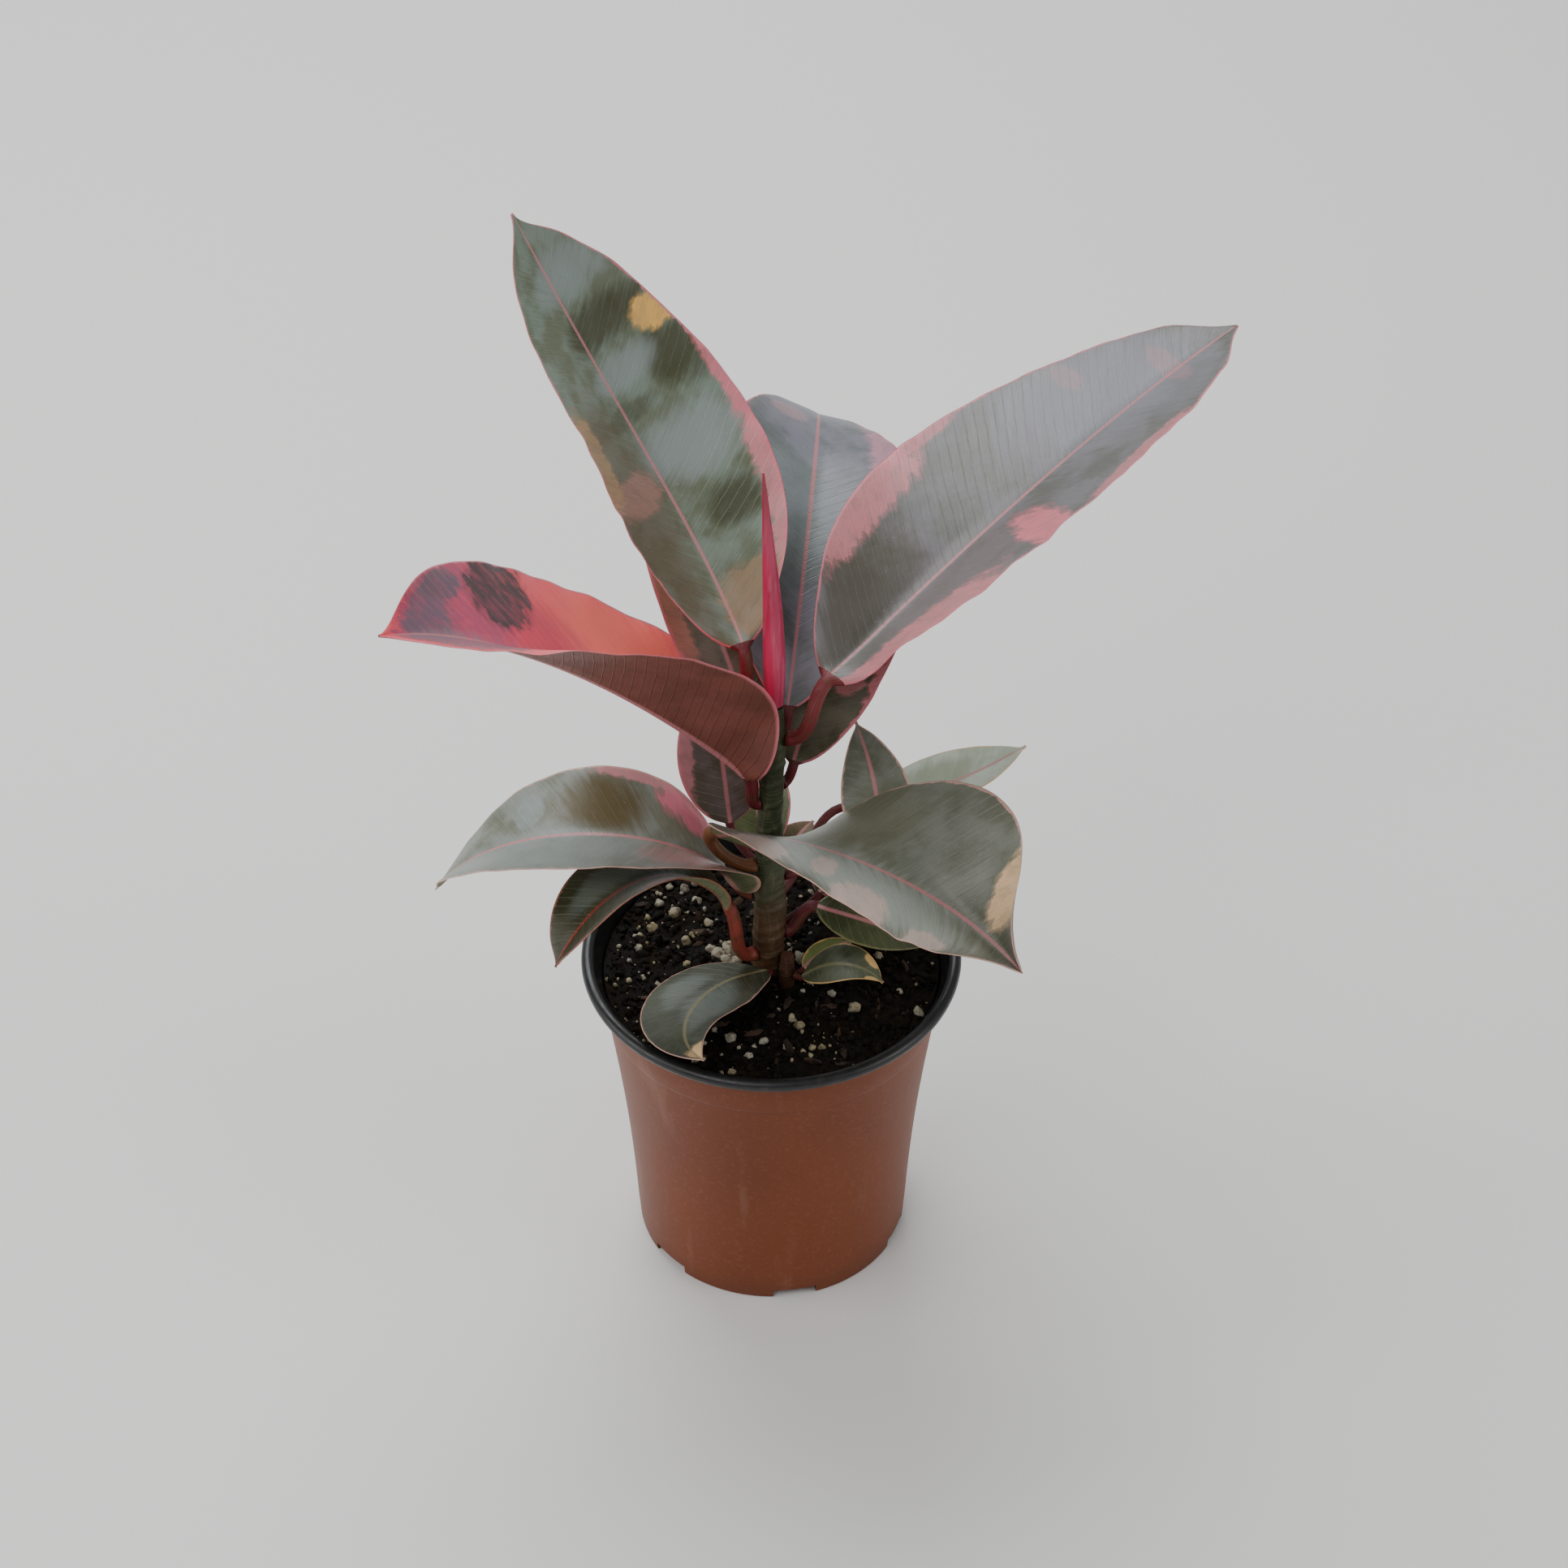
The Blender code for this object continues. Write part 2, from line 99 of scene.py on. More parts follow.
# %% Light the room
def soft_light(name, place, target, size, power, colour=(1, 1, 1)):
    """A square area light that faces its target."""
    light = bpy.data.lights.new(name, "AREA")
    light.size = size
    light.energy = power
    light.color = colour
    lamp = bpy.data.objects.new(name, light)
    lamp.location = place
    lamp.rotation_euler = (Vector(target) - Vector(place)).to_track_quat("-Z", "Y").to_euler()
    bpy.context.collection.objects.link(lamp)


def light_room():
    middle = (0, 0, 0.2)
    soft_light("overhead", (-0.3, 0.9, 1.5), middle, 1.2, 21, (0.97, 0.99, 1.0))
    soft_light("front", (-0.7, -1.1, 1.7), middle, 1.0, 9, (1.0, 0.99, 0.98))
    soft_light("left", (-1.3, -0.2, 0.7), middle, 0.9, 7)
    soft_light("right", (1.3, -0.4, 0.8), middle, 0.8, 5)
    world = bpy.data.worlds.new("room")
    world.use_nodes = True
    world.node_tree.nodes["Background"].inputs["Color"].default_value = (0.86, 0.88, 0.9, 1)
    world.node_tree.nodes["Background"].inputs["Strength"].default_value = 0.38
    bpy.context.scene.world = world


light_room()

# %% [markdown]
# ## A small language for materials
#
# A material is a web of nodes. Wrapping each socket in a Field lets the web be written as plain
# maths: adding two fields makes an Add node. Paint holds one material and makes its nodes.


# %% Fields, which are sums of nodes
class Field:
    """One output socket of a material, which can be used in sums."""

    def __init__(self, paint, socket):
        self.paint = paint
        self.socket = socket

    def combine(self, operation, first, second):
        """The result of one Math node, as a new Field."""
        made = self.paint.tree.nodes.new("ShaderNodeMath")
        made.operation = operation
        self.paint.feed(made.inputs[0], first)
        self.paint.feed(made.inputs[1], second)
        return Field(self.paint, made.outputs[0])

    def __add__(self, other):
        return self.combine("ADD", self, other)

    def __radd__(self, other):
        return self.combine("ADD", other, self)

    def __sub__(self, other):
        return self.combine("SUBTRACT", self, other)

    def __rsub__(self, other):
        return self.combine("SUBTRACT", other, self)

    def __mul__(self, other):
        return self.combine("MULTIPLY", self, other)

    def __rmul__(self, other):
        return self.combine("MULTIPLY", other, self)

    def __truediv__(self, other):
        return self.combine("DIVIDE", self, other)

    def __pow__(self, other):
        return self.combine("POWER", self, other)

    def __abs__(self):
        return self.combine("ABSOLUTE", self, 0)

    def most(self, other):
        return self.combine("MAXIMUM", self, other)


# %% [markdown]
# ## One material
#
# Every finish here is a Principled BSDF with a few inputs fed by noise. Paint keeps the node calls
# short: node makes any node, ramp makes a soft step, and mix blends two colours.


# %% Paint, which holds a material
class Paint:
    """One material, and the nodes that feed its Principled BSDF."""

    def __init__(self, name, **settings):
        self.material = bpy.data.materials.new(name)
        self.material.use_nodes = True
        self.tree = self.material.node_tree
        self.shader = self.tree.nodes["Principled BSDF"]
        for socket, value in settings.items():
            self.set(socket.replace("_", " "), value)

    def set(self, socket, value):
        self.feed(self.shader.inputs[socket], value)

    def feed(self, socket, value):
        if isinstance(value, Field):
            self.tree.links.new(value.socket, socket)
        elif isinstance(value, tuple) and socket.type == "RGBA":
            socket.default_value = (*value[:3], 1)
        else:
            socket.default_value = value

    def node(self, kind, output=0, settings=None, **inputs):
        """Any node: its settings, its inputs by name, and one of its outputs as a Field."""
        made = self.tree.nodes.new(kind)
        for name, value in (settings or {}).items():
            setattr(made, name, value)
        for name, value in inputs.items():
            self.feed(made.inputs[name.replace("_", " ")], value)
        return Field(self, made.outputs[output])

    def place(self):
        return self.node("ShaderNodeTexCoord", output="Object")

    def split(self, vector):
        parts = self.node("ShaderNodeSeparateXYZ", Vector=vector)
        node = parts.socket.node
        return [Field(self, node.outputs[axis]) for axis in "XYZ"]

    def join(self, x, y, z=0.0):
        return self.node("ShaderNodeCombineXYZ", X=x, Y=y, Z=z)

    def uv(self, layer):
        x, y, _ = self.split(self.node("ShaderNodeUVMap", settings={"uv_map": layer}))
        return x, y

    def noise(self, vector, scale, detail=2.0, roughness=0.5, distortion=0.0):
        return self.node("ShaderNodeTexNoise", Vector=vector, Scale=scale, Detail=detail,
                         Roughness=roughness, Distortion=distortion)

    def ramp(self, value, low, high, start=0.0, end=1.0):
        """From start to end in a soft step as the value goes from low to high."""
        settings = {"interpolation_type": "SMOOTHSTEP"}
        return self.node("ShaderNodeMapRange", settings=settings, Value=value, From_Min=low,
                         From_Max=high, To_Min=start, To_Max=end)

    def mix(self, share, first, second):
        made = self.tree.nodes.new("ShaderNodeMix")
        made.data_type = "RGBA"
        self.feed(made.inputs[0], share)
        self.feed(made.inputs[6], first)
        self.feed(made.inputs[7], second)
        return Field(self, made.outputs[2])

    def bump(self, height, distance, strength=1.0):
        normal = self.node("ShaderNodeBump", Height=height, Distance=distance, Strength=strength)
        self.set("Normal", normal)


# %% [markdown]
# ## Helpers for shapes
#
# Every piece is a mesh built with bmesh, finished with smooth shading and outward faces, and tied
# to the one body of the frame. A rolled grid is the most useful trick here: a flat grid whose
# vertices are moved onto a tube, whose seam is then welded and whose ends are closed.


# %% Helpers for shapes
def finish_piece(name, bm, materials, node=None, slot=None, flat_above=60):
    """Make a piece from a mesh; edges bent by more than flat_above degrees stay sharp."""
    mesh = bpy.data.meshes.new(name)
    bm.to_mesh(mesh)
    bm.free()
    mesh.shade_smooth()
    mesh.set_sharp_from_angle(angle=math.radians(flat_above))
    for made in materials:
        mesh.materials.append(made)
    piece = bpy.data.objects.new(name, mesh)
    bpy.context.collection.objects.link(piece)
    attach(piece, "root")
    if node:
        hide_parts(node)
    print(name, len(mesh.polygons), "faces")
    return piece


def face_outwards(bm):
    bmesh.ops.recalc_face_normals(bm, faces=bm.faces)
    if bm.calc_volume(signed=True) < 0:
        bmesh.ops.reverse_faces(bm, faces=bm.faces)


WELD = 1e-7  # metres; points nearer than this along a seam are one point


def rolled_grid(bm, around, along, spot):
    """Add a closed tube: spot(turn, way) gives a point for a turn and a way from 0 to 1."""
    made = bmesh.ops.create_grid(bm, x_segments=around, y_segments=along, size=0.5)
    verts = made["verts"]
    for vert in verts:
        vert.co = spot(vert.co.x + 0.5, vert.co.y + 0.5)
    bmesh.ops.remove_doubles(bm, verts=verts, dist=WELD)
    rims = [edge for edge in bm.edges if edge.is_boundary]
    bmesh.ops.holes_fill(bm, edges=rims)


def turned(profile, steps):
    """Spin a (radius, height) outline once round Z."""
    bm = bmesh.new()
    points = [bm.verts.new((radius, 0, height)) for radius, height in profile]
    edges = [bm.edges.new(pair) for pair in zip(points, points[1:])]
    bmesh.ops.spin(bm, geom=points + edges, axis=(0, 0, 1), cent=(0, 0, 0), steps=steps,
                   angle=math.tau, use_merge=True)
    bmesh.ops.remove_doubles(bm, verts=bm.verts, dist=1e-6)
    face_outwards(bm)
    return bm


# %% [markdown]
# ## The floor
#
# The floor is staging, so it isn't part of the plant.

# %% Make the floor
FLOOR_SIZE = 6.0


def make_floor():
    bm = bmesh.new()
    bmesh.ops.create_grid(bm, x_segments=1, y_segments=1, size=FLOOR_SIZE / 2)
    mesh = bpy.data.meshes.new("floor")
    bm.to_mesh(mesh)
    bm.free()
    paint = Paint("floor_paint", Roughness=0.6, Base_Color=(0.88, 0.87, 0.85))
    mesh.materials.append(paint.material)
    floor = bpy.data.objects.new("floor", mesh)
    bpy.context.collection.objects.link(floor)


make_floor()

# %% [markdown]
# ## The pot
#
# A nursery pot is thin moulded plastic in two colours: terracotta outside, black inside and over
# the rolled rim. It is turned from one outline, finer than the frame's. The foot has notches, which
# are cut with a Boolean.

# %% Sizes of the pot
pot_low, pot_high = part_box("pot")
POT_HEIGHT = pot_high[2] - pot_low[2]
RIM_RADIUS = (pot_high[0] - pot_low[0]) / 2
FOOT_RADIUS = 43.5 * MM
WALL = 1.3 * MM
LIP_WIDTH = 3.4 * MM
LIP_HEIGHT = 4.0 * MM
COLLAR_HEIGHT = 19 * MM
COLLAR_STEP = 0.7 * MM
COLLAR_FLARE = 2.6 * MM
WALL_BELLY = 1.3 * MM
FOOT_HEIGHT = 5 * MM
FOOT_WIDTH = 3.2 * MM
FOOT_NOTCHES = 6
NOTCH_TURN = 40  # degrees from +X to the first notch
NOTCH_WIDTH = 14 * MM
NOTCH_HEIGHT = 3.5 * MM
PAD_RADIUS = 11 * MM
DRAIN_HOLES = 6
DRAIN_RADIUS = 4 * MM
DRAIN_CIRCLE = 28 * MM
POT_STEPS = 160
WALL_RINGS = 16
LIP_STEPS = 12
LIP_START = -100  # degrees; the lip's arc starts under its outer side
LIP_SWEEP = 280


# %% [markdown]
# ## The pot's outline
#
# On the real pot the wall tapers to the foot and steps out into a collar under the rim. It could be
# built from stacked cones. One outline that is spun round gives the same shape as one closed piece,
# and keeps its wall one thickness throughout.


# %% Draw the outline
def wall_radius(height):
    """Outer radius: a taper with a slight belly, then a step out to the flared collar."""
    step = POT_HEIGHT - COLLAR_HEIGHT
    top = RIM_RADIUS - LIP_WIDTH - WALL - COLLAR_FLARE
    share = min(height / step, 1.0)
    radius = FOOT_RADIUS + (top - FOOT_RADIUS) * share - WALL_BELLY * math.sin(math.pi * share)
    if height > step:
        along = (height - step) / (COLLAR_HEIGHT - LIP_HEIGHT)
        radius += COLLAR_STEP + (COLLAR_FLARE - COLLAR_STEP) * min(along, 1.0)
    return radius


def pot_profile():
    """From the middle of the underside, up the outside, over the lip and down the inside."""
    step = POT_HEIGHT - COLLAR_HEIGHT
    lip_bottom = POT_HEIGHT - LIP_HEIGHT
    floor_top = FOOT_HEIGHT + WALL
    foot_inner = wall_radius(0) - FOOT_WIDTH
    heights = [FOOT_HEIGHT + index * (step - FOOT_HEIGHT) / WALL_RINGS
               for index in range(1, WALL_RINGS)]
    profile = [(0, 0), (PAD_RADIUS, 0), (PAD_RADIUS + 1 * MM, FOOT_HEIGHT)]
    profile += [(foot_inner - 1 * MM, FOOT_HEIGHT), (foot_inner, 0), (wall_radius(0) - 0.8 * MM, 0)]
    profile += [(wall_radius(0) - 0.3 * MM, 0.4 * MM), (wall_radius(0) - 0.1 * MM, 1.2 * MM)]
    profile += [(wall_radius(height), height) for height in heights]
    profile += [(wall_radius(step), step - 0.5 * MM)]
    profile += [(wall_radius(step) + COLLAR_STEP * 0.7, step)]
    profile += [(wall_radius(step + 1 * MM), step + 1 * MM)]
    profile += [(wall_radius(height), height) for height in (step + 6 * MM, step + 11 * MM)]
    profile += [(wall_radius(lip_bottom) - 0.2 * MM, lip_bottom - 1.2 * MM)]
    profile += [(wall_radius(lip_bottom) + 0.5 * MM, lip_bottom - 0.2 * MM)]
    profile += lip_arc(lip_bottom)
    profile += [(wall_radius(lip_bottom) - WALL, lip_bottom - 1 * MM)]
    profile += [(wall_radius(height) - WALL, height) for height in reversed(heights[1:])]
    profile += [(wall_radius(floor_top) - WALL - 1 * MM, floor_top), (0, floor_top)]
    return profile


def lip_arc(lip_bottom):
    """The rolled rim: most of an ellipse from the wall's outside round to its inside."""
    middle = (RIM_RADIUS - LIP_WIDTH * 0.5 - WALL * 0.3, lip_bottom + LIP_HEIGHT / 2)
    half_width = RIM_RADIUS - middle[0]
    points = []
    for index in range(LIP_STEPS + 1):
        angle = math.radians(LIP_START + LIP_SWEEP * index / LIP_STEPS)
        radius = middle[0] + half_width * math.cos(angle)
        points.append((radius, middle[1] + LIP_HEIGHT / 2 * math.sin(angle)))
    return points


print("pot outline", len(pot_profile()), "points, foot radius", round(wall_radius(0) / MM, 1), "mm")


# %% [markdown]
# ## The pot's finishes
#
# Moulded plastic is nearly even in colour. What makes it look real is slight: faint turning lines,
# scuffs, and dust on the black. A faint painted sheen lies on the flanks. An image could show them,
# but noise has no seam and stays sharp at any size.


# %% Finishes of the pot
def paint_terracotta():
    """Satin terracotta with faint turning lines, a faint painted sheen on the flanks and small scuffs.
    """
    paint = Paint("terracotta_plastic", Specular_IOR_Level=0.25)
    place = paint.place()
    x, y, z = paint.split(place)
    lines = paint.noise(paint.join(x * 4, y * 4, z * 900), 1.0, detail=1.0)
    speckle = paint.noise(place, 700.0, detail=3.0)
    cloud = paint.noise(paint.join(x * 14, y * 14, z * 9), 1.0, detail=4.0)
    scuff = paint.ramp(paint.noise(paint.join(x * 90, y * 90, z * 16), 1.0, detail=5.0), 0.58, 0.74)
    colour = paint.mix(paint.ramp(cloud, 0.35, 0.65), (0.155, 0.036, 0.011), (0.200, 0.050, 0.016))
    colour = paint.mix(paint.ramp(speckle, 0.5, 0.75) * 0.16, colour, (0.36, 0.15, 0.09))
    colour = paint.mix(scuff * 0.14, colour, (0.42, 0.24, 0.18))
    # painted sheen: a little paler where the pot faces left and right, patchy with the cloud
    flank_sheen = paint.ramp(abs(x), 0.026, 0.05) * paint.ramp(cloud, 0.3, 0.7, 0.5, 1.0)
    colour = paint.mix(flank_sheen * 0.06, colour, (0.50, 0.38, 0.34))
    foot = paint.ramp(z, 0.0, 0.012, 1.0, 0.0)
    paint.set("Base Color", paint.mix(foot * 0.4, colour, (0.12, 0.035, 0.014)))
    paint.set("Roughness", paint.ramp(cloud, 0.3, 0.7, 0.42, 0.55))
    paint.bump(lines * 0.4 + speckle * 0.4, 0.00005)
    return paint.material


def paint_black_plastic():
    """Black plastic of the rim and inside, with fine scratches and a little dust."""
    paint = Paint("black_plastic")
    place = paint.place()
    x, y, z = paint.split(place)
    scratch = paint.noise(paint.join(x * 500, y * 60, z * 90), 1.0, detail=3.0)
    dust = paint.ramp(paint.noise(place, 240.0, detail=5.0), 0.55, 0.8)
    paint.set("Base Color", paint.mix(dust * 0.35, (0.011, 0.011, 0.012), (0.07, 0.06, 0.05)))
    paint.set("Roughness", paint.ramp(scratch, 0.3, 0.7, 0.28, 0.42))
    paint.bump(scratch, 0.00004)
    return paint.material


# %% [markdown]
# ## Notches and drain holes
#
# The foot is cut by notches and the floor by drain holes, so that water runs out. They could be left
# out of the outline face by face. A Boolean cut with a ring of simple blocks is much shorter.


# %% Cut the pot
def ring_of(count, radius, first, make_one):
    """Join copies of a closed cutter round a circle."""
    bm = bmesh.new()
    for index in range(count):
        before = set(bm.verts)
        make_one(bm)
        verts = [vert for vert in bm.verts if vert not in before]
        bmesh.ops.translate(bm, verts=verts, vec=(radius, 0, 0))
        turn = Matrix.Rotation(math.tau * index / count + math.radians(first), 3, "Z")
        bmesh.ops.rotate(bm, verts=verts, cent=(0, 0, 0), matrix=turn)
    return bm


def notch_block(bm):
    made = bmesh.ops.create_cube(bm, size=1.0)
    size = (FOOT_WIDTH * 4, NOTCH_WIDTH, NOTCH_HEIGHT * 2)
    bmesh.ops.scale(bm, verts=made["verts"], vec=size)


def drain_rod(bm):
    made = bmesh.ops.create_cone(bm, cap_ends=True, segments=24, radius1=DRAIN_RADIUS,
                                 radius2=DRAIN_RADIUS, depth=WALL * 4)
    bmesh.ops.translate(bm, verts=made["verts"], vec=(0, 0, FOOT_HEIGHT + WALL / 2))


def cut_away(piece, bm):
    """Apply a Boolean cut, and remove the cutter."""
    mesh = bpy.data.meshes.new("cutter")
    bm.to_mesh(mesh)
    bm.free()
    cutter = bpy.data.objects.new("cutter", mesh)
    bpy.context.collection.objects.link(cutter)
    modifier = piece.modifiers.new("cut", "BOOLEAN")
    modifier.operation = "DIFFERENCE"
    modifier.object = cutter
    graph = bpy.context.evaluated_depsgraph_get()
    carved = bpy.data.meshes.new_from_object(piece.evaluated_get(graph))
    piece.modifiers.remove(modifier)
    piece.data = carved
    bpy.data.objects.remove(cutter)


def colour_pot_faces(pot):
    """Black where the face is on the lip or looks inwards above the floor, terracotta elsewhere."""
    lip_bottom = POT_HEIGHT - LIP_HEIGHT
    for polygon in pot.data.polygons:
        middle = polygon.center
        reach = Vector((middle.x, middle.y, 0)).length
        inside = middle.z > FOOT_HEIGHT + WALL / 2 and reach < wall_radius(middle.z) - WALL / 2
        polygon.material_index = 1 if inside or middle.z > lip_bottom - 0.3 * MM else 0


def make_pot():
    materials = [paint_terracotta(), paint_black_plastic()]
    bm = turned(pot_profile(), POT_STEPS)
    pot = finish_piece("nursery_pot", bm, materials, node="pot", slot="pot_plastic", flat_above=35)
    cut_away(pot, ring_of(FOOT_NOTCHES, wall_radius(0) - FOOT_WIDTH / 2, NOTCH_TURN, notch_block))
    cut_away(pot, ring_of(DRAIN_HOLES, DRAIN_CIRCLE, 0, drain_rod))
    colour_pot_faces(pot)
    print("pot", len(pot.data.polygons), "faces once cut")


make_pot()

# %% [markdown]
# ## The peat
#
# The peat is one plug whose top is broken up with three sizes of noise. Loose crumbs, bark chips
# and perlite grains lie on it. Each loose kind is one object of many small lumps, so the counts can
# be high while the lumps stay simple.

# %% Level of the peat
soil_low, soil_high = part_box("soil")
SOIL_LEVEL = soil_high[2] - 1.1 * MM  # the lumps on top reach up to the frame's height
SOIL_EDGE = soil_high[0]
SOIL_RINGS = 110
SOIL_STEPS = 240
random.seed(20)
print("peat level", round(SOIL_LEVEL / MM, 1), "mm")


def soil_height(x, y):
    """Height of the peat's broken surface."""
    spot = Vector((x, y, 0))
    heaps = noise.noise(spot * 70) * 1.3
    clods = abs(noise.noise(spot * 260)) * 1.6
    grit = noise.noise(spot * 900) * 0.45
    return SOIL_LEVEL + (heaps + clods + grit - 0.5) * MM


# %% [markdown]
# ## Finishes of the peat and of what lies on it
#
# Moist peat is almost black, and only its fibres catch the light. Perlite is chalky and dirtied by the
# peat, so it's never a clean white. Bark is brown with a paler grain. Each is two or three noises.


# %% Finishes of the peat
def paint_peat():
    """Nearly black moist peat with brown fibres and a few damp glints."""
    paint = Paint("peat", Specular_IOR_Level=0.2)
    place = paint.place()
    x, y, z = paint.split(place)
    fine = paint.noise(place, 1400.0, detail=4.0, roughness=0.7)
    patch = paint.noise(place, 120.0, detail=5.0, roughness=0.65)
    fibre = paint.noise(paint.join(x * 2600, y * 500, z * 900), 1.0, detail=2.0)
    colour = paint.mix(paint.ramp(patch, 0.42, 0.66), (0.0050, 0.0036, 0.0026), (0.018, 0.011, 0.006))
    colour = paint.mix(paint.ramp(fibre, 0.62, 0.74) * 0.5, colour, (0.070, 0.034, 0.015))
    colour = paint.mix(paint.ramp(fine, 0.68, 0.8) * 0.4, colour, (0.14, 0.10, 0.06))
    paint.set("Base Color", colour)
    paint.set("Roughness", paint.ramp(patch, 0.35, 0.6, 0.55, 0.95))
    paint.bump(fine + patch * 2.0, 0.0006)
    return paint.material


def paint_perlite():
    """Chalky white grains, dirtied unevenly by the peat."""
    paint = Paint("perlite", Roughness=0.85)
    place = paint.place()
    dirt = paint.noise(place, 420.0, detail=4.0, roughness=0.6)
    warmth = paint.noise(place, 60.0, detail=1.0)
    clean = paint.mix(paint.ramp(warmth, 0.4, 0.6), (0.42, 0.39, 0.31), (0.36, 0.30, 0.18))
    paint.set("Base Color", paint.mix(paint.ramp(dirt, 0.46, 0.68), clean, (0.12, 0.085, 0.05)))
    paint.bump(paint.noise(place, 1500.0, detail=3.0), 0.0003)
    return paint.material


def paint_chips():
    """Brown bark with a paler grain."""
    paint = Paint("bark_chips", Roughness=0.8)
    place = paint.place()
    grain = paint.noise(place, 700.0, detail=3.0)
    darkness = paint.noise(place, 90.0)
    colour = paint.mix(paint.ramp(darkness, 0.4, 0.6), (0.055, 0.026, 0.012), (0.022, 0.012, 0.007))
    paint.set("Base Color", paint.mix(paint.ramp(grain, 0.55, 0.75) * 0.5, colour, (0.14, 0.075, 0.036)))
    paint.bump(grain, 0.0003)
    return paint.material


# %% [markdown]
# ## The plug and one loose bit
#
# The plug is turned like the pot, with many close rings on top, so that each point can be raised or
# lowered. A loose bit is a sphere of few faces knocked out of shape. Sculpting each one would look no
# better at this size.


# %% Make the plug
def make_peat():
    """Turn the plug from an outline, then break up its top."""
    profile = [(0, soil_low[2]), (FOOT_RADIUS - 2.5 * MM, soil_low[2])]
    profile += [(wall_radius(POT_HEIGHT * share) - WALL - 0.6 * MM, POT_HEIGHT * share)
                for share in (0.25, 0.45, 0.65, 0.8)]
    profile += [(SOIL_EDGE, SOIL_LEVEL - 1 * MM)]
    profile += [(SOIL_EDGE * (1 - ring / SOIL_RINGS), SOIL_LEVEL) for ring in range(SOIL_RINGS + 1)]
    bm = turned(profile, SOIL_STEPS)
    for vert in bm.verts:
        if vert.co.z > SOIL_LEVEL - 0.5 * MM:
            vert.co.z = soil_height(vert.co.x, vert.co.y)
    finish_piece("peat_plug", bm, [paint_peat()], node="soil", slot="peat", flat_above=180)


def add_lump(bm, place, size, level, stretch=(1, 1, 1)):
    """A rough lump: a sphere of few faces, knocked out of shape by noise."""
    made = bmesh.ops.create_icosphere(bm, subdivisions=level, radius=1.0)
    turn = Matrix.Rotation(random.uniform(0, math.tau), 3, (random.random(), random.random(), 1))
    seed = Vector((random.uniform(0, 90), 0, 0))
    for vert in made["verts"]:
        rough = 1 + 0.38 * noise.noise(vert.co * 1.3 + seed) + 0.18 * noise.noise(vert.co * 3 + seed)
        shaped = Vector([part * factor for part, factor in zip(vert.co, stretch)])
        vert.co = turn @ (shaped * rough * size) + Vector(place)


make_peat()


# %% [markdown]
# ## The loose top
#
# Crumbs, chips and small grains are scattered with a fixed seed, so that every run gives the same
# top. The few large grains that catch the eye are placed one by one.


# %% Scatter the loose bits
LOOSE_REACH = 0.985  # loose bits lie within this share of the peat's radius


def scattered(count, smallest, largest, rule):
    """Seeded places on the peat with sizes that favour small ones; rule says where they may lie."""
    made = []
    while len(made) < count:
        angle = random.uniform(0, math.tau)
        reach = SOIL_EDGE * LOOSE_REACH * math.sqrt(random.random())
        x = reach * math.cos(angle)
        y = reach * math.sin(angle)
        size = smallest + (largest - smallest) * random.random() ** 3
        if rule(x, y) and reach + size < SOIL_EDGE:
            made.append((x, y, size))
    return made


def thinner_in_front(x, y):
    """Perlite has gathered more at the back and left of the pot."""
    crowding = 0.5 + noise.noise(Vector((x * 45, y * 45, 3))) + (y - x) * 6
    return random.random() < crowding


BIG_GRAINS = (  # (x, y, radius) in mm: the grains that stand out on the peat
    (-13, 6, 2.6), (-16.5, 4.5, 2.1), (-11.5, 1.5, 2.3), (-14, 2, 2.0), (-10, 4.5, 1.9), (-19, 7, 1.7),
    (9.5, 2.5, 2.2), (26, -19, 2.1), (46, -21, 1.6), (9, -27, 1.6), (-12.5, -33, 1.7),
    (-2.3, -35, 1.4), (5, -36.5, 1.4), (6.5, -23, 1.4), (-7, -40.5, 1.2), (-27, 11, 1.7),
    (-38, 17, 1.6), (-31, 24, 1.9), (-24, 30, 1.6), (-36, 29, 1.4), (-42, 8, 1.4),
    (-20, 20, 1.5), (-28, 36, 1.5), (34, 4, 1.6), (19, -12, 1.4),
)


def anywhere(x, y):
    return True


def make_loose_top():
    """Scatter crumbs, chips and grains, in this order, and place the big grains one by one."""
    crumbs = bmesh.new()
    for x, y, size in scattered(2300, 0.5 * MM, 1.9 * MM, anywhere):
        add_lump(crumbs, (x, y, soil_height(x, y) + size * 0.2), size, 1, (1.2, 0.9, 0.75))
    finish_piece("peat_crumbs", crumbs, [paint_peat()], slot="peat", flat_above=50)

    chips = bmesh.new()
    for x, y, size in scattered(170, 0.6 * MM, 2.4 * MM, anywhere):
        add_lump(chips, (x, y, soil_height(x, y) + size * 0.3), size, 1, (1.9, 0.7, 0.35))
    finish_piece("bark_chips", chips, [paint_chips()], slot="peat", flat_above=30)

    grains = bmesh.new()
    for x, y, size in scattered(420, 0.25 * MM, 1.3 * MM, thinner_in_front):
        level = 2 if size > 1.0 * MM else 1
        add_lump(grains, (x, y, soil_height(x, y) + size * 0.45), size, level, (1.1, 1.0, 0.8))
    for x, y, size in BIG_GRAINS:
        place = (x * MM, y * MM, soil_height(x * MM, y * MM) + size * 0.5 * MM)
        add_lump(grains, place, size * MM, 3, (1.1, 1.0, 0.85))
    finish_piece("perlite_grains", grains, [paint_perlite()], slot="peat", flat_above=70)


make_loose_top()

# %% [markdown]
# ## The stems
#
# The main stem is a tube along a gently bent line. Where leaves once grew it has rings: a low
# swelling with a thin groove above it. It is green above and turns to brown bark near the peat. The
# side shoot is younger, thinner and red-brown.

# %% Rows of the stems
BURIED = 24  # how far a stem goes down into the peat, in mm
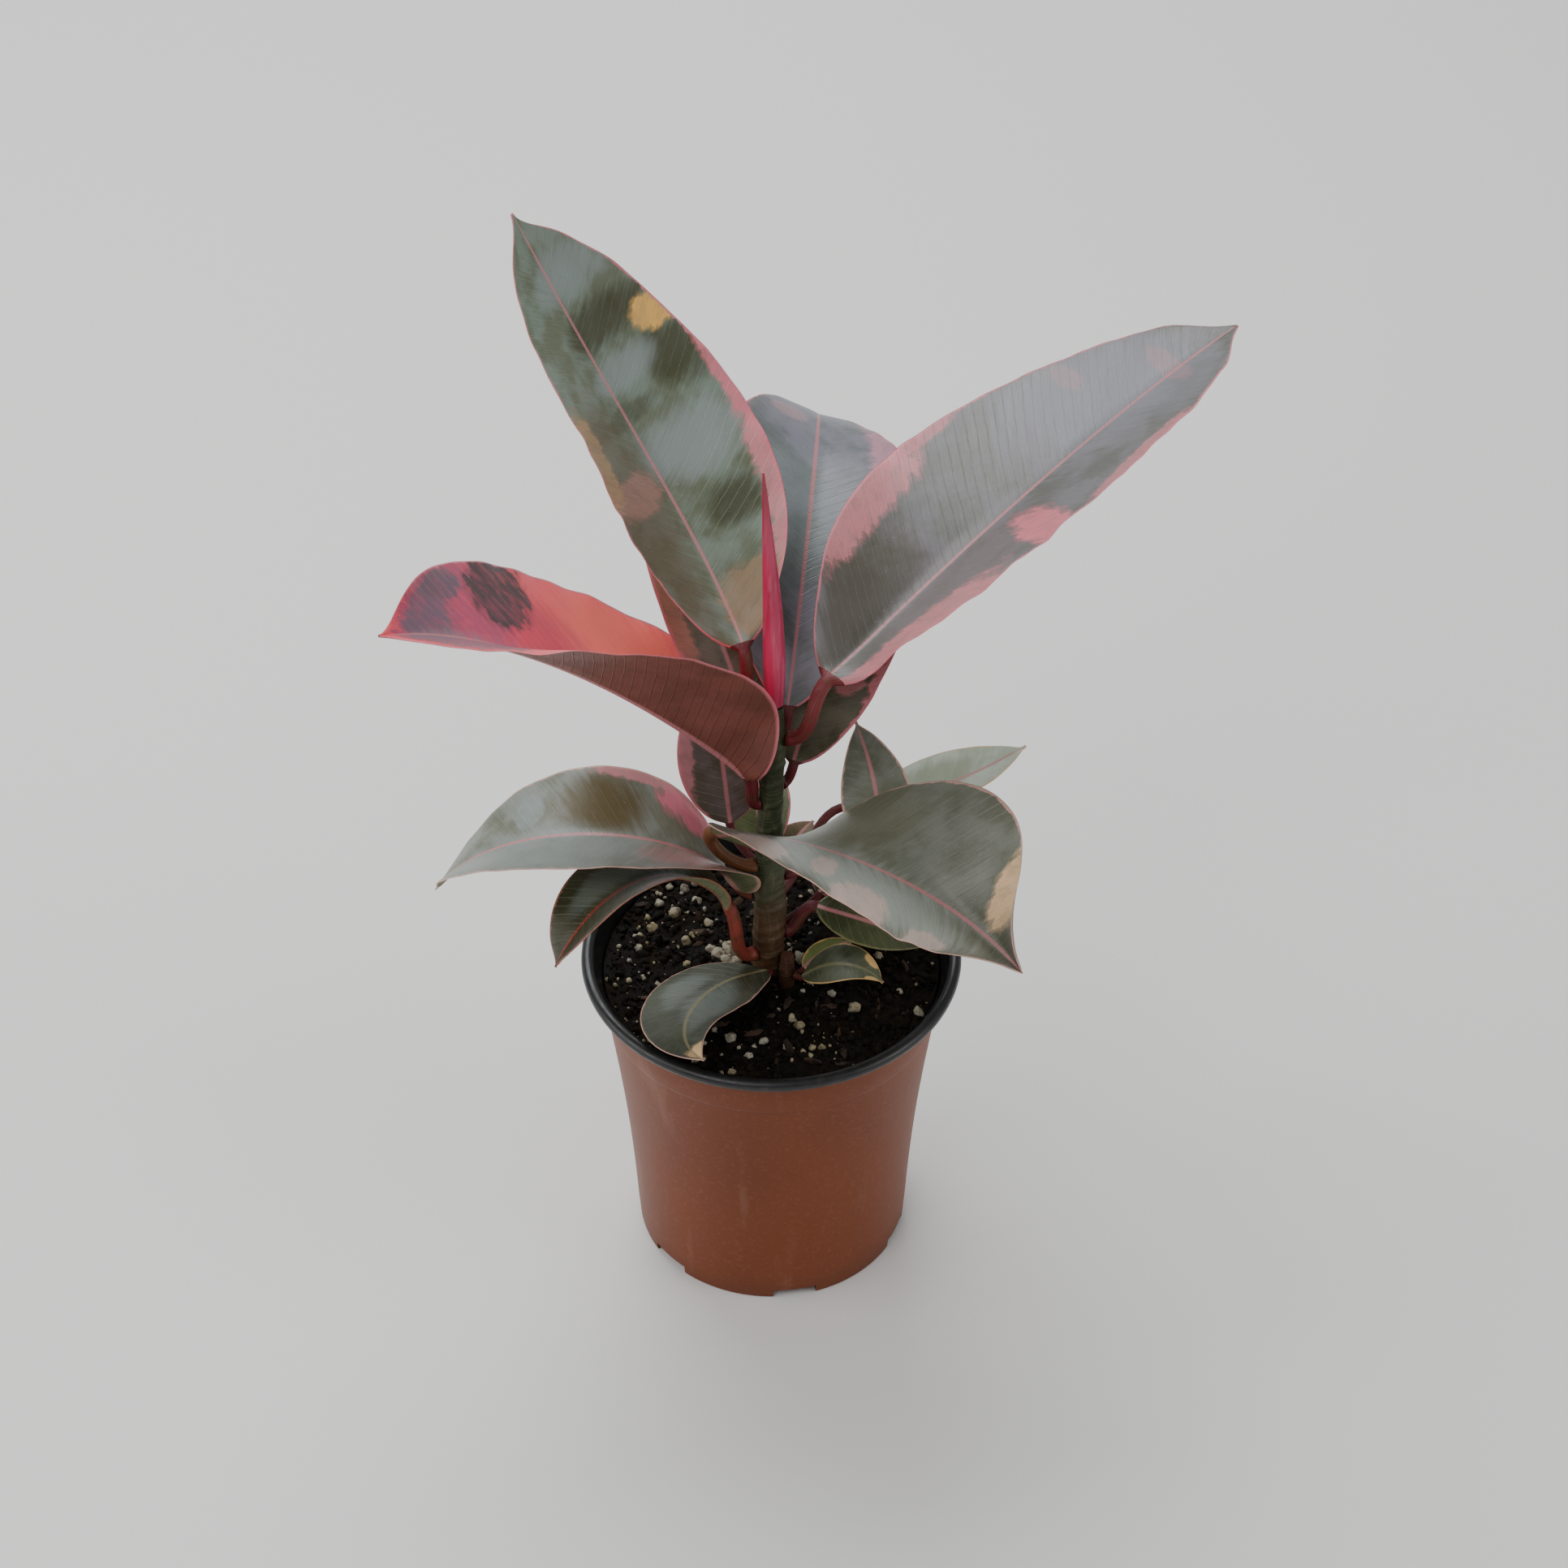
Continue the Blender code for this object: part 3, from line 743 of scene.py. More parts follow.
# Rows of (x, y, height above the peat, radius) in mm
STEM = (
    (-1, -2, 0, 4.5),
    (-0.5, -1, 30, 5),
    (-0.5, 0, 60, 4),
    (1, 0, 90, 3.5),
    (1, 0, 109, 3),
)
SIDE_SHOOT = (
    (5, -7.5, 0, 2.5),
    (5, -7.5, 6, 2.5),
    (5, -7.5, 12, 2),
)
STEM_RINGS = (4, 10, 17, 21, 29, 34, 42, 50, 61, 71, 79, 86, 93)  # heights above the peat in mm
RING_HALF_WIDTH = 1.1  # mm
RING_SWELLING = 0.34  # mm
RING_GROOVE = 0.16  # mm


def smooth_line(rows, way):
    """Place and radius a share of the way along rows of (x, y, height, radius)."""
    step = way * (len(rows) - 1)
    index = min(int(step), len(rows) - 2)
    share = step - index
    before = Vector(rows[max(index - 1, 0)])
    start = Vector(rows[index])
    end = Vector(rows[index + 1])
    after = Vector(rows[min(index + 2, len(rows) - 1)])
    leave = (end - before) / 2
    arrive = (after - start) / 2
    spot = start * (1 + 2 * share) * (1 - share) ** 2 + leave * share * (1 - share) ** 2
    spot += end * share ** 2 * (3 - 2 * share) + arrive * share ** 2 * (share - 1)
    return Vector(spot[:3]) * MM + Vector((0, 0, SOIL_LEVEL)), spot[3] * MM


def ring_swelling(height):
    """How much a leaf scar thickens the stem at a height in mm."""
    swelling = 0.0
    for ring in STEM_RINGS:
        away = (height - ring) / RING_HALF_WIDTH
        swelling += RING_SWELLING * math.exp(-away * away)
        swelling -= RING_GROOVE * math.exp(-(away - 1.3) ** 2 * 4)
    return swelling


def make_stem(name, node, rows, material, around, along, rings=True):
    """A lumpy tube along the rows, which starts below the peat."""
    first = rows[0]
    buried = (first[0], first[1], first[2] - BURIED, first[3] * 0.8)
    rows = (buried,) + rows

    def spot(turn, way):
        centre, radius = smooth_line(rows, way)
        angle = math.tau * turn
        height = (centre.z - SOIL_LEVEL) / MM
        side = Vector((math.cos(angle), math.sin(angle), 0))
        lump = 0.12 * noise.noise(Vector((side.x * 1.5, side.y * 1.5, height * 0.16)))
        swelling = ring_swelling(height + 0.8 * math.sin(angle * 2)) if rings else 0
        return centre + side * (radius * (1 + lump) + swelling * MM)

    bm = bmesh.new()
    rolled_grid(bm, around, along, spot)
    face_outwards(bm)
    finish_piece(name, bm, [material], node=node, slot="stem_bark")


# %% [markdown]
# ## Bark
#
# Young rubber plants have green skin that turns to brown bark from below. One ramp over height makes
# that change, and noise moves its border up and down so that it isn't a straight line.


# %% Make the stems
def paint_bark(name, low_colour, high_colour, turning, span):
    """A low colour that turns to a high one over a span, with streaks, blotches and pale cracks."""
    paint = Paint(name)
    place = paint.place()
    x, y, z = paint.split(place)
    streak = paint.noise(paint.join(x * 700, y * 700, z * 90), 1.0, detail=4.0, roughness=0.6)
    blotch = paint.noise(place, 130.0, detail=3.0)
    cracks = paint.noise(paint.join(x * 160, y * 160, z * 1500), 1.0, detail=3.0)
    height = z + (blotch - 0.5) * span
    turned_green = paint.ramp(height, turning - span / 2, turning + span / 2)
    colour = paint.mix(turned_green, low_colour, high_colour)
    colour = paint.mix(paint.ramp(streak, 0.5, 0.72) * 0.4, colour, (0.19, 0.15, 0.085))
    colour = paint.mix(paint.ramp(blotch, 0.55, 0.7) * 0.5, colour, (0.035, 0.022, 0.012))
    colour = paint.mix(paint.ramp(cracks, 0.66, 0.74) * 0.45, colour, (0.30, 0.22, 0.13))
    paint.set("Base Color", colour)
    paint.set("Roughness", paint.ramp(streak, 0.3, 0.7, 0.42, 0.68))
    paint.bump(streak * 0.6 + cracks * 0.8, 0.0004)
    return paint.material


stem_skin = paint_bark("stem_skin", (0.095, 0.045, 0.018), (0.046, 0.060, 0.026), 0.140, 0.030)
make_stem("stem", "main_stem", STEM, stem_skin, 40, 260)
shoot_skin = paint_bark("shoot_skin", (0.060, 0.024, 0.011), (0.085, 0.030, 0.018), 0.116, 0.010)
make_stem("young_shoot", "side_shoot", SIDE_SHOOT, shoot_skin, 24, 60, rings=False)

# %% [markdown]
# ## The rolled new leaf
#
# A rubber plant's next leaf is hidden in a red sheath, rolled like an umbrella. The sheath's wall
# overlaps itself once, which leaves a spiral seam down one side.

# %% Make the sheath
SHEATH = (  # rows like those of the stem; the first lies just above the stem's top
    (1, 0, 110, 3),
    (1, 0.5, 125, 3.5),
    (0.5, 1.5, 145, 3),
    (-0.5, 2.5, 165, 2),
    (-2, 4, 194, 0.3),
)


FLAP = 0.13  # how far the overlap stands out, as a share of the radius
SEAM_STEP = 0.02  # share of a turn over which the overlap drops


def sheath_spot(turn, way):
    """A point on the sheath: a tapering tube whose radius grows slowly and drops at the seam."""
    centre, radius = smooth_line(SHEATH, way)
    angle = math.tau * turn
    seam = (turn + 0.10 * math.sin(way * 5) + 0.30) % 1.0
    flap = FLAP * (1 - seam) if seam > SEAM_STEP else FLAP * seam / SEAM_STEP
    side = Vector((math.cos(angle), math.sin(angle), 0))
    return centre + side * radius * (0.93 + flap)


def paint_sheath():
    paint = Paint("crimson_sheath", Roughness=0.36)
    x, y, z = paint.split(paint.place())
    streak = paint.noise(paint.join(x * 900, y * 900, z * 60), 1.0, detail=3.0)
    cloud = paint.noise(paint.join(x * 120, y * 120, z * 25), 1.0, detail=2.0)
    colour = paint.mix(paint.ramp(cloud, 0.35, 0.65), (0.42, 0.012, 0.070), (0.58, 0.045, 0.135))
    colour = paint.mix(paint.ramp(streak, 0.52, 0.72) * 0.5, colour, (0.60, 0.12, 0.20))
    tip = paint.ramp(z, 0.255, 0.300)
    colour = paint.mix(tip * 0.55, colour, (0.24, 0.030, 0.035))
    paint.set("Base Color", colour)
    paint.set("Coat Weight", 0.2)
    paint.bump(streak, 0.0002)
    return paint.material


def make_sheath():
    bm = bmesh.new()
    rolled_grid(bm, 48, 120, sheath_spot)
    face_outwards(bm)
    finish_piece("rolled_new_leaf", bm, [paint_sheath()], node="new_leaf_sheath", slot="sheath")


make_sheath()

# %% [markdown]
# ## The form of a leaf
#
# The leaves are the heart of the plant. Each blade is folded along its midrib, cupped towards its
# margins, and bent along its length. These are the same design values that shaped the frame's plain
# leaves: a place, a length and a width, and three angles at the blade's base, middle and tip. The
# same values make a finer leaf here that lies exactly where the plain one does.


# %% Forms
class Form:
    """How a blade is shaped, at its base, middle and tip: fold and cup angles, and the outline."""

    def __init__(self, fold, cup, outline):
        self.fold = fold
        self.cup = cup
        self.outline = outline


OPEN = Form(fold=(12, 12, 10), cup=(5, 5, 5), outline=(0.6, 1.0, 1.6))
BROAD = Form(fold=(25, 15, 5), cup=(10, 5, 0), outline=(0.7, 1.0, 1.8))
TROUGH = Form(fold=(35, 15, 5), cup=(15, 5, 5), outline=(0.65, 0.7, 1.4))
BOAT = Form(fold=(55, 25, 30), cup=(10, 0, 5), outline=(0.5, 1.0, 1.9))
SLENDER = Form(fold=(20, 15, 10), cup=(10, 5, 5), outline=(0.45, 0.8, 1.4))
ROUNDED = Form(fold=(20, 15, 20), cup=(5, 5, 10), outline=(0.7, 0.9, 1.9))
CURLED = Form(fold=(-10, 15, 65), cup=(-5, 5, 20), outline=(0.55, 0.4, 1.6))
LAID = Form(fold=(5, 5, 20), cup=(0, 0, 10), outline=(0.6, 1.1, 1.6))


# %% [markdown]
# ## The leaves
#
# Each row is one leaf: where it leaves the stem, where its blade starts, its length and width, and
# its heading, rise and roll in degrees at the base, the middle and the tip.


# %% The leaves
class Leaf:
    """One leaf: its node on the stem, the start of its blade, and the angles along its midrib."""

    def __init__(self, name, node, base, length, width, heading, rise, roll, form,
                 petiole=1.6, shoot="main"):
        self.name = name
        self.node = node * MM + SOIL_LEVEL
        self.base = Vector(base) * MM + Vector((0, 0, SOIL_LEVEL))
        self.length = length * MM
        self.width = width * MM
        self.heading = heading
        self.rise = rise
        self.roll = roll
        self.form = form
        self.petiole = petiole * MM
        self.shoot = shoot


LEAVES = (
    Leaf("leaf_top_left", 106, (-8, 2, 129), 150, 80,
         (110, 140, 150), (25, 50, 60), (-10, 15, -5), BROAD, petiole=2.0),
    Leaf("leaf_top_right", 96, (17, -2, 120), 170, 88,
         (50, 35, 30), (10, 25, 20), (10, -15, -15), TROUGH, petiole=2.2),
    Leaf("leaf_top_back", 89, (5, 9, 99), 135, 64,
         (80, 85, 90), (45, 15, -45), (5, 15, 20), BROAD, petiole=1.8),
    Leaf("leaf_folded_left", 71, (-7, -3, 83), 140, 86,
         (190, 190, 225), (50, 35, 25), (25, 25, -25), BOAT, petiole=2.0),
    Leaf("leaf_mid_right", 75, (7, 5, 81), 99, 45,
         (65, 60, 55), (50, 35, 5), (5, 0, 0), OPEN),
    Leaf("leaf_mid_left_back", 82, (-7, 7, 95), 76, 34,
         (120, 125, 130), (60, 40, 10), (-5, 0, 0), OPEN),
    Leaf("leaf_low_left", 31, (-10, 1, 33), 118, 50,
         (205, 180, 165), (65, 0, -60), (20, 0, 15), SLENDER),
    Leaf("leaf_drooping_left", 10, (-13, -9, 34), 76, 36,
         (180, 215, 230), (65, 5, -45), (15, 20, 20), ROUNDED, petiole=2.1),
    Leaf("leaf_low_right", 46, (-17, -8, 65), 110, 74,
         (-30, -20, -60), (25, -15, -5), (-60, -5, 35), CURLED, petiole=2.0),
    Leaf("leaf_small_back_left", 40, (-13, 17, 46), 52, 28,
         (120, 110, 100), (80, 70, 45), (-15, -25, -30), OPEN, petiole=1.4),
    Leaf("leaf_small_back_right", 38, (33, 15, 37), 47, 23,
         (120, 125, 125), (100, 75, 50), (-20, -30, -35), OPEN, petiole=1.4),
    Leaf("leaf_pale_right", 29, (24, 30, 41), 62, 26,
         (-20, 0, 20), (20, 25, 25), (-5, 0, 5), OPEN, petiole=1.4),
    Leaf("leaf_dark_right_back", 17, (15, 13, 19), 46, 25,
         (50, 50, 45), (20, 10, -10), (0, 0, 0), OPEN, petiole=1.3),
    Leaf("leaf_olive_back", 20, (1, 12, 23), 30, 15,
         (75, 65, 55), (20, 10, -10), (0, 0, 0), OPEN, petiole=1.2),
    Leaf("leaf_under_right", 16, (14, 1, 25), 40, 20,
         (-10, -5, 5), (-10, -20, -25), (30, 20, 10), OPEN, petiole=1.9),
    Leaf("leaf_baby_right", 3, (10, -5, 4), 19, 9,
         (40, 30, 20), (20, 10, -5), (0, 0, 0), OPEN, petiole=0.8, shoot="side"),
    Leaf("leaf_soil_right", 5, (10, -11, 6), 30, 16,
         (-5, -20, -35), (50, 15, -30), (0, 10, 5), LAID, petiole=0.9, shoot="side"),
    Leaf("leaf_soil_left", 4, (-1, -10, 7), 64, 34,
         (205, 245, 315), (20, 5, 20), (20, 15, 15), LAID, petiole=1.1),
    Leaf("leaf_green_back", 31, (-2, 14, 35), 42, 22,
         (100, 100, 105), (30, 15, -10), (0, 0, 0), OPEN, petiole=1.2),
)
print(len(LEAVES), "leaves")

# %% [markdown]
# ## Maths along a blade
#
# Three values make a parabola along the blade. The outline rises from the base with one power and
# falls to the tip with another, which is how many leaf outlines can be drawn.

# %% Maths along a blade
TIP_WIDTH = 1.0 * MM
BASE_TAPER = 0.12  # share of the blade over which the petiole thins out
BEAK = 0.55  # how much narrower the drawn-out tip is than the plain outline
BEAK_SHARE = 0.05
PETIOLE_BEND = 0.35
GAP = 0.3 * MM  # between a petiole and its stem, as in the frame


def at(values, share):
    """Value at a share of the blade, on the parabola through its base, middle and tip values."""
    base, middle, tip = values
    rest = 1 - share
    return base * rest * (1 - 2 * share) + 4 * middle * share * rest + tip * share * (2 * share - 1)


def half_width(leaf, share):
    """Half the blade's width at a share of its length."""
    fullness, taper, spread = leaf.form.outline
    peak = (fullness / (fullness + taper * spread)) ** (1 / spread)

    def curve(value):
        return value ** fullness * max(0.0, 1 - value ** spread) ** taper

    beak = 1 - BEAK * math.exp(-((1 - share) / BEAK_SHARE) ** 2)
    blade = leaf.width / 2 * curve(share) / curve(peak) * beak
    return max(blade, leaf.petiole * (1 - share), TIP_WIDTH / 2)


def half_section(reach, fold, cup):
    """How far out and up a half blade is at a reach from 0 at the midrib to 1 at the margin."""
    if abs(cup) < 1e-3:
        return reach * math.cos(fold), reach * math.sin(fold)
    out = (math.sin(fold + cup * reach) - math.sin(fold)) / cup
    up = (math.cos(fold) - math.cos(fold + cup * reach)) / cup
    return out, up


def midrib(leaf, share):
    """Unit vectors along, across and up from the blade at a share of its length."""
    heading = math.radians(at(leaf.heading, share))
    rise = math.radians(at(leaf.rise, share))
    roll = math.radians(at(leaf.roll, share))
    flat = math.cos(rise)
    along = Vector((flat * math.cos(heading), flat * math.sin(heading), math.sin(rise)))
    level = Vector((-math.sin(heading), math.cos(heading), 0))
    square = along.cross(level)
    across = level * math.cos(roll) + square * math.sin(roll)
    return along, across, square * math.cos(roll) - level * math.sin(roll)


# %% [markdown]
# ## Rings of a leaf
#
# A leaf is a closed skin through rings. Round rings make the petiole. On the blade a ring is nearly
# flat: its upper half is the glossy face and its lower half is the underside, with a keel below the
# midrib. Small waves are added here, growing towards the margin, because a living blade is never
# quite smooth.

# %% Rings of a blade
RING_SIDES = 48
BLADE_STATIONS = 90
PETIOLE_STATIONS = 14
PETIOLE_SWELLING = 0.15  # at the stem, as a share of the radius
BLADE_THICKNESS = 0.75 * MM
KEEL = 0.9 * MM
GROOVE = 0.22 * MM
RIB_WIDTH = 1.3 * MM
KEELED_WIDTH = 60 * MM  # narrower leaves have a smaller keel and groove
WAVES = 0.9 * MM
WAVY_WIDTH = 80 * MM  # a leaf this wide has waves of the full height


def blade_centres(leaf):
    """Places along the midrib, found by adding up short steps."""
    centre = leaf.base.copy()
    centres = [centre.copy()]
    steps = 4
    for station in range(BLADE_STATIONS):
        for step in range(steps):
            share = (station + (step + 0.5) / steps) / BLADE_STATIONS
            centre += midrib(leaf, share)[0] * leaf.length / BLADE_STATIONS / steps
        centres.append(centre.copy())
    return centres


def blade_ring(leaf, centre, share, seed):
    """One closed ring of points round the blade, at a share of its length."""
    along, across, up = midrib(leaf, share)
    width = half_width(leaf, share)
    fold = math.radians(at(leaf.form.fold, share))
    cup = math.radians(at(leaf.form.cup, share))
    spare = max(0.0, 1 - share / BASE_TAPER) ** 2
    bent = 1 - spare
    fade = bent * min(1.0, (1 - share) * 12)
    ring = []
    for index in range(RING_SIDES):
        angle = math.tau * index / RING_SIDES
        reach = math.cos(angle)
        out, lift = half_section(abs(reach), fold * bent, cup * bent)
        side = math.copysign(1, reach)
        lean = (fold + cup * abs(reach)) * bent * min(1.0, abs(reach) * 2)
        normal = up * math.cos(lean) - across * side * math.sin(lean)
        spot = centre + (across * side * out + up * lift) * width
        skin = skin_offset(leaf, math.sin(angle), reach * width, share, spare)
        if spare == 0:
            skin = max(-width / 3, min(width / 3, skin))
        wave = noise.noise(Vector((reach * 1.7, share * leaf.length / MM / 13, seed)))
        ripple = noise.noise(Vector((side * 3, share * leaf.length / MM / 7, seed + 5)))
        wave = wave * reach * reach * 0.9 + ripple * abs(reach) ** 5 * 0.7
        ring.append(spot + normal * (skin + wave * WAVES * fade * leaf.width / WAVY_WIDTH))
    return ring


def skin_offset(leaf, height, away, share, spare):
    """How far the skin lies from the blade's middle sheet; height is +1 on top and -1 below."""
    flat = math.copysign(abs(height) ** 0.6, height) * BLADE_THICKNESS / 2
    near = math.exp(-(away / RIB_WIDTH) ** 2) * (1 - share * 0.7) * min(1.0, leaf.width / KEELED_WIDTH)
    flat -= near * (GROOVE if height > 0 else KEEL) * (1 - spare)
    return flat + (leaf.petiole * height - flat) * spare


# %% [markdown]
# ## Petioles
#
# A petiole leaves the stem sideways and then turns to run into the blade. A curve with four control
# points does both, as its ends point where the stem and the blade want it to.


# %% Rings of a petiole
def bezier(controls, share):
    """Place and direction on a curve with four control points."""
    a, b, c, d = controls
    rest = 1 - share
    spot = a * rest ** 3 + b * 3 * rest ** 2 * share + c * 3 * rest * share ** 2 + d * share ** 3
    tangent = (b - a) * rest ** 2 + (c - b) * 2 * rest * share + (d - c) * share ** 2
    return spot, tangent.normalized()


def stem_at(rows, height):
    """Centre and radius of a stem at a height, by straight lines between its rows."""
    ground = Vector((0, 0, SOIL_LEVEL))
    rows = [(Vector((x, y, z)) * MM + ground, radius * MM) for x, y, z, radius in rows]
    for (low, low_radius), (high, high_radius) in zip(rows, rows[1:]):
        if height <= high.z:
            share = max(0.0, (height - low.z) / (high.z - low.z))
            return low.lerp(high, share), low_radius + (high_radius - low_radius) * share
    return rows[-1]


def petiole_rings(leaf):
    """Round rings from the stem's surface to the blade, swollen a little at the stem."""
    axis, radius = stem_at(STEM if leaf.shoot == "main" else SIDE_SHOOT, leaf.node)
    outward = leaf.base - axis
    outward.z = 0
    outward.normalize()
    start = axis + outward * (radius + GAP)
    along, across, up = midrib(leaf, 0.0)
    stretch = (leaf.base - start).length * PETIOLE_BEND
    controls = (start, start + outward * stretch, leaf.base - along * stretch, leaf.base)
    side = Vector((-outward.y, outward.x, 0))
    if side.dot(across) < 0:
        side = -side
    rings = []
    for station in range(PETIOLE_STATIONS):
        share = station / PETIOLE_STATIONS
        spot, tangent = bezier(controls, share)
        hint = side.lerp(across, share)
        first = (hint - tangent * hint.dot(tangent)).normalized()
        second = tangent.cross(first)
        swell = leaf.petiole * (1 + PETIOLE_SWELLING * math.exp(-(share * 9) ** 2))
        ring = []
        for index in range(RING_SIDES):
            angle = math.tau * index / RING_SIDES
            ring.append(spot + first * swell * math.cos(angle) + second * swell * math.sin(angle))
        rings.append(ring)
    return rings


# %% [markdown]
# ## From rings to a leaf
#
# A grid is rolled up through the rings, and welded along its seam. Each point keeps its place on
# the leaf in a UV map, U from margin to margin and V from base to tip, so that the colours can
# follow the blade however it bends. The petiole has V below zero. Three materials go on: the upper
# face, the underside and the petiole.


# %% Roll up a leaf
FACE, UNDERSIDE, STALK = range(3)  # places in a leaf's list of materials


def add_leaf_map(bm, rows):
    """Note where each corner is on the leaf before the grid is rolled up."""
    layer = bm.loops.layers.uv.new("leaf_map")
    for face in bm.faces:
        turn = face.calc_center_median().x + 0.5
        way = (face.calc_center_median().y + 0.5) * rows - PETIOLE_STATIONS
        blade_side = FACE if turn < 0.5 else UNDERSIDE
        face.material_index = STALK if way < 0.5 else blade_side
        for loop in face.loops:
            angle = math.tau * (loop.vert.co.x + 0.5)
            row = (loop.vert.co.y + 0.5) * rows
            share = (row - PETIOLE_STATIONS) / BLADE_STATIONS
            loop[layer].uv = (0.5 + 0.5 * math.cos(angle), share)


def make_leaf(leaf, materials, slot):
    """Build a leaf's rings, roll a grid up through them, weld it and close its ends."""
    seed = sum(map(ord, leaf.name)) * 0.37
    rings = petiole_rings(leaf)
    for station, centre in enumerate(blade_centres(leaf)):
        rings.append(blade_ring(leaf, centre, station / BLADE_STATIONS, seed))
    rows = len(rings) - 1
    bm = bmesh.new()
    bmesh.ops.create_grid(bm, x_segments=RING_SIDES, y_segments=rows, size=0.5)
    add_leaf_map(bm, rows)
    for vert in bm.verts:
        column = round((vert.co.x + 0.5) * RING_SIDES) % RING_SIDES
        vert.co = rings[round((vert.co.y + 0.5) * rows)][column]
    bmesh.ops.remove_doubles(bm, verts=bm.verts, dist=WELD)
    caps = bmesh.ops.holes_fill(bm, edges=[edge for edge in bm.edges if edge.is_boundary])
    for face in caps["faces"]:
        face.material_index = STALK
    face_outwards(bm)
    return finish_piece(leaf.name.replace("leaf_", "blade_"), bm, materials, leaf.name, slot, 180)


# %% [markdown]
# ## What colours a leaf has
#
# A variegated leaf is several layers of paint. There is a mottled ground of a lighter and a deeper
# colour. Shades are soft veils over it. Some are the leaf's own tints, the grey-blue, grey-mauve and
# pale grey ones are painted sheen, and the dark olive bands on the top-left leaf are painted shade.
# Blotches are patches with ragged borders. Pink or cream lies along the margins, where the leaf has
# little green. A Look lists these for one leaf. A shade or a blotch says where it is on the leaf: U
# from -1 at the right margin to 1 at the left one, V from 0 at the base to 1 at the tip, and how far
# it spreads each way.


# %% Mix colours
VIVID = 1.3  # soft light and gloss dull a colour, so it is mixed stronger than it should look


def tone(red, green, blue):
    """A colour given as 0 to 255 screen values, strengthened and made linear."""
    grey = (red + green + blue) / 3
    strong = [max(4.0, grey + (part - grey) * VIVID) for part in (red, green, blue)]
    return tuple(((part / 255 + 0.055) / 1.055) ** 2.4 for part in strong)


PINK = tone(204, 130, 138)
ROSE = tone(192, 134, 138)
CREAM = tone(214, 180, 130)
SHELL = tone(206, 168, 156)
# painted shade: dark olive bands where the top-left blade's waves turn away from the light
PAINTED_SHADE_OLIVE = tone(56, 56, 30)
# painted sheen: the broad grey-blue gloss of a waxy blade, put into the colour
PAINTED_SHEEN = tone(140, 148, 146)
# painted sheen in a mauve grey, for the top-right leaf
PAINTED_SHEEN_MAUVE = tone(136, 136, 142)
UNDER_GREEN = tone(118, 122, 96)
RED_STALK = tone(84, 34, 38)

print("pink, made linear", [round(part, 3) for part in PINK])


# %% [markdown]
# ## What one leaf's colours are
#
# A Look holds the colours of one leaf. Most leaves share the defaults, so a Look lists only what is
# different about its leaf.


# %% Looks
class Look:
    """The colours of one leaf; shades are soft and blotches have ragged borders."""

    def __init__(self, ground, deep, edge=PINK, edges=(0.7, 0.7), shades=(), blotches=(), rib=ROSE,
                 under=UNDER_GREEN, stalk=RED_STALK, slot="leaf_variegated", gloss=0.36):
        self.ground = ground
        self.deep = deep
        self.edge = edge
        self.edges = edges
        self.shades = shades
        self.blotches = blotches
        self.rib = rib
        self.under = under
        self.stalk = stalk
        self.slot = slot
        self.gloss = gloss
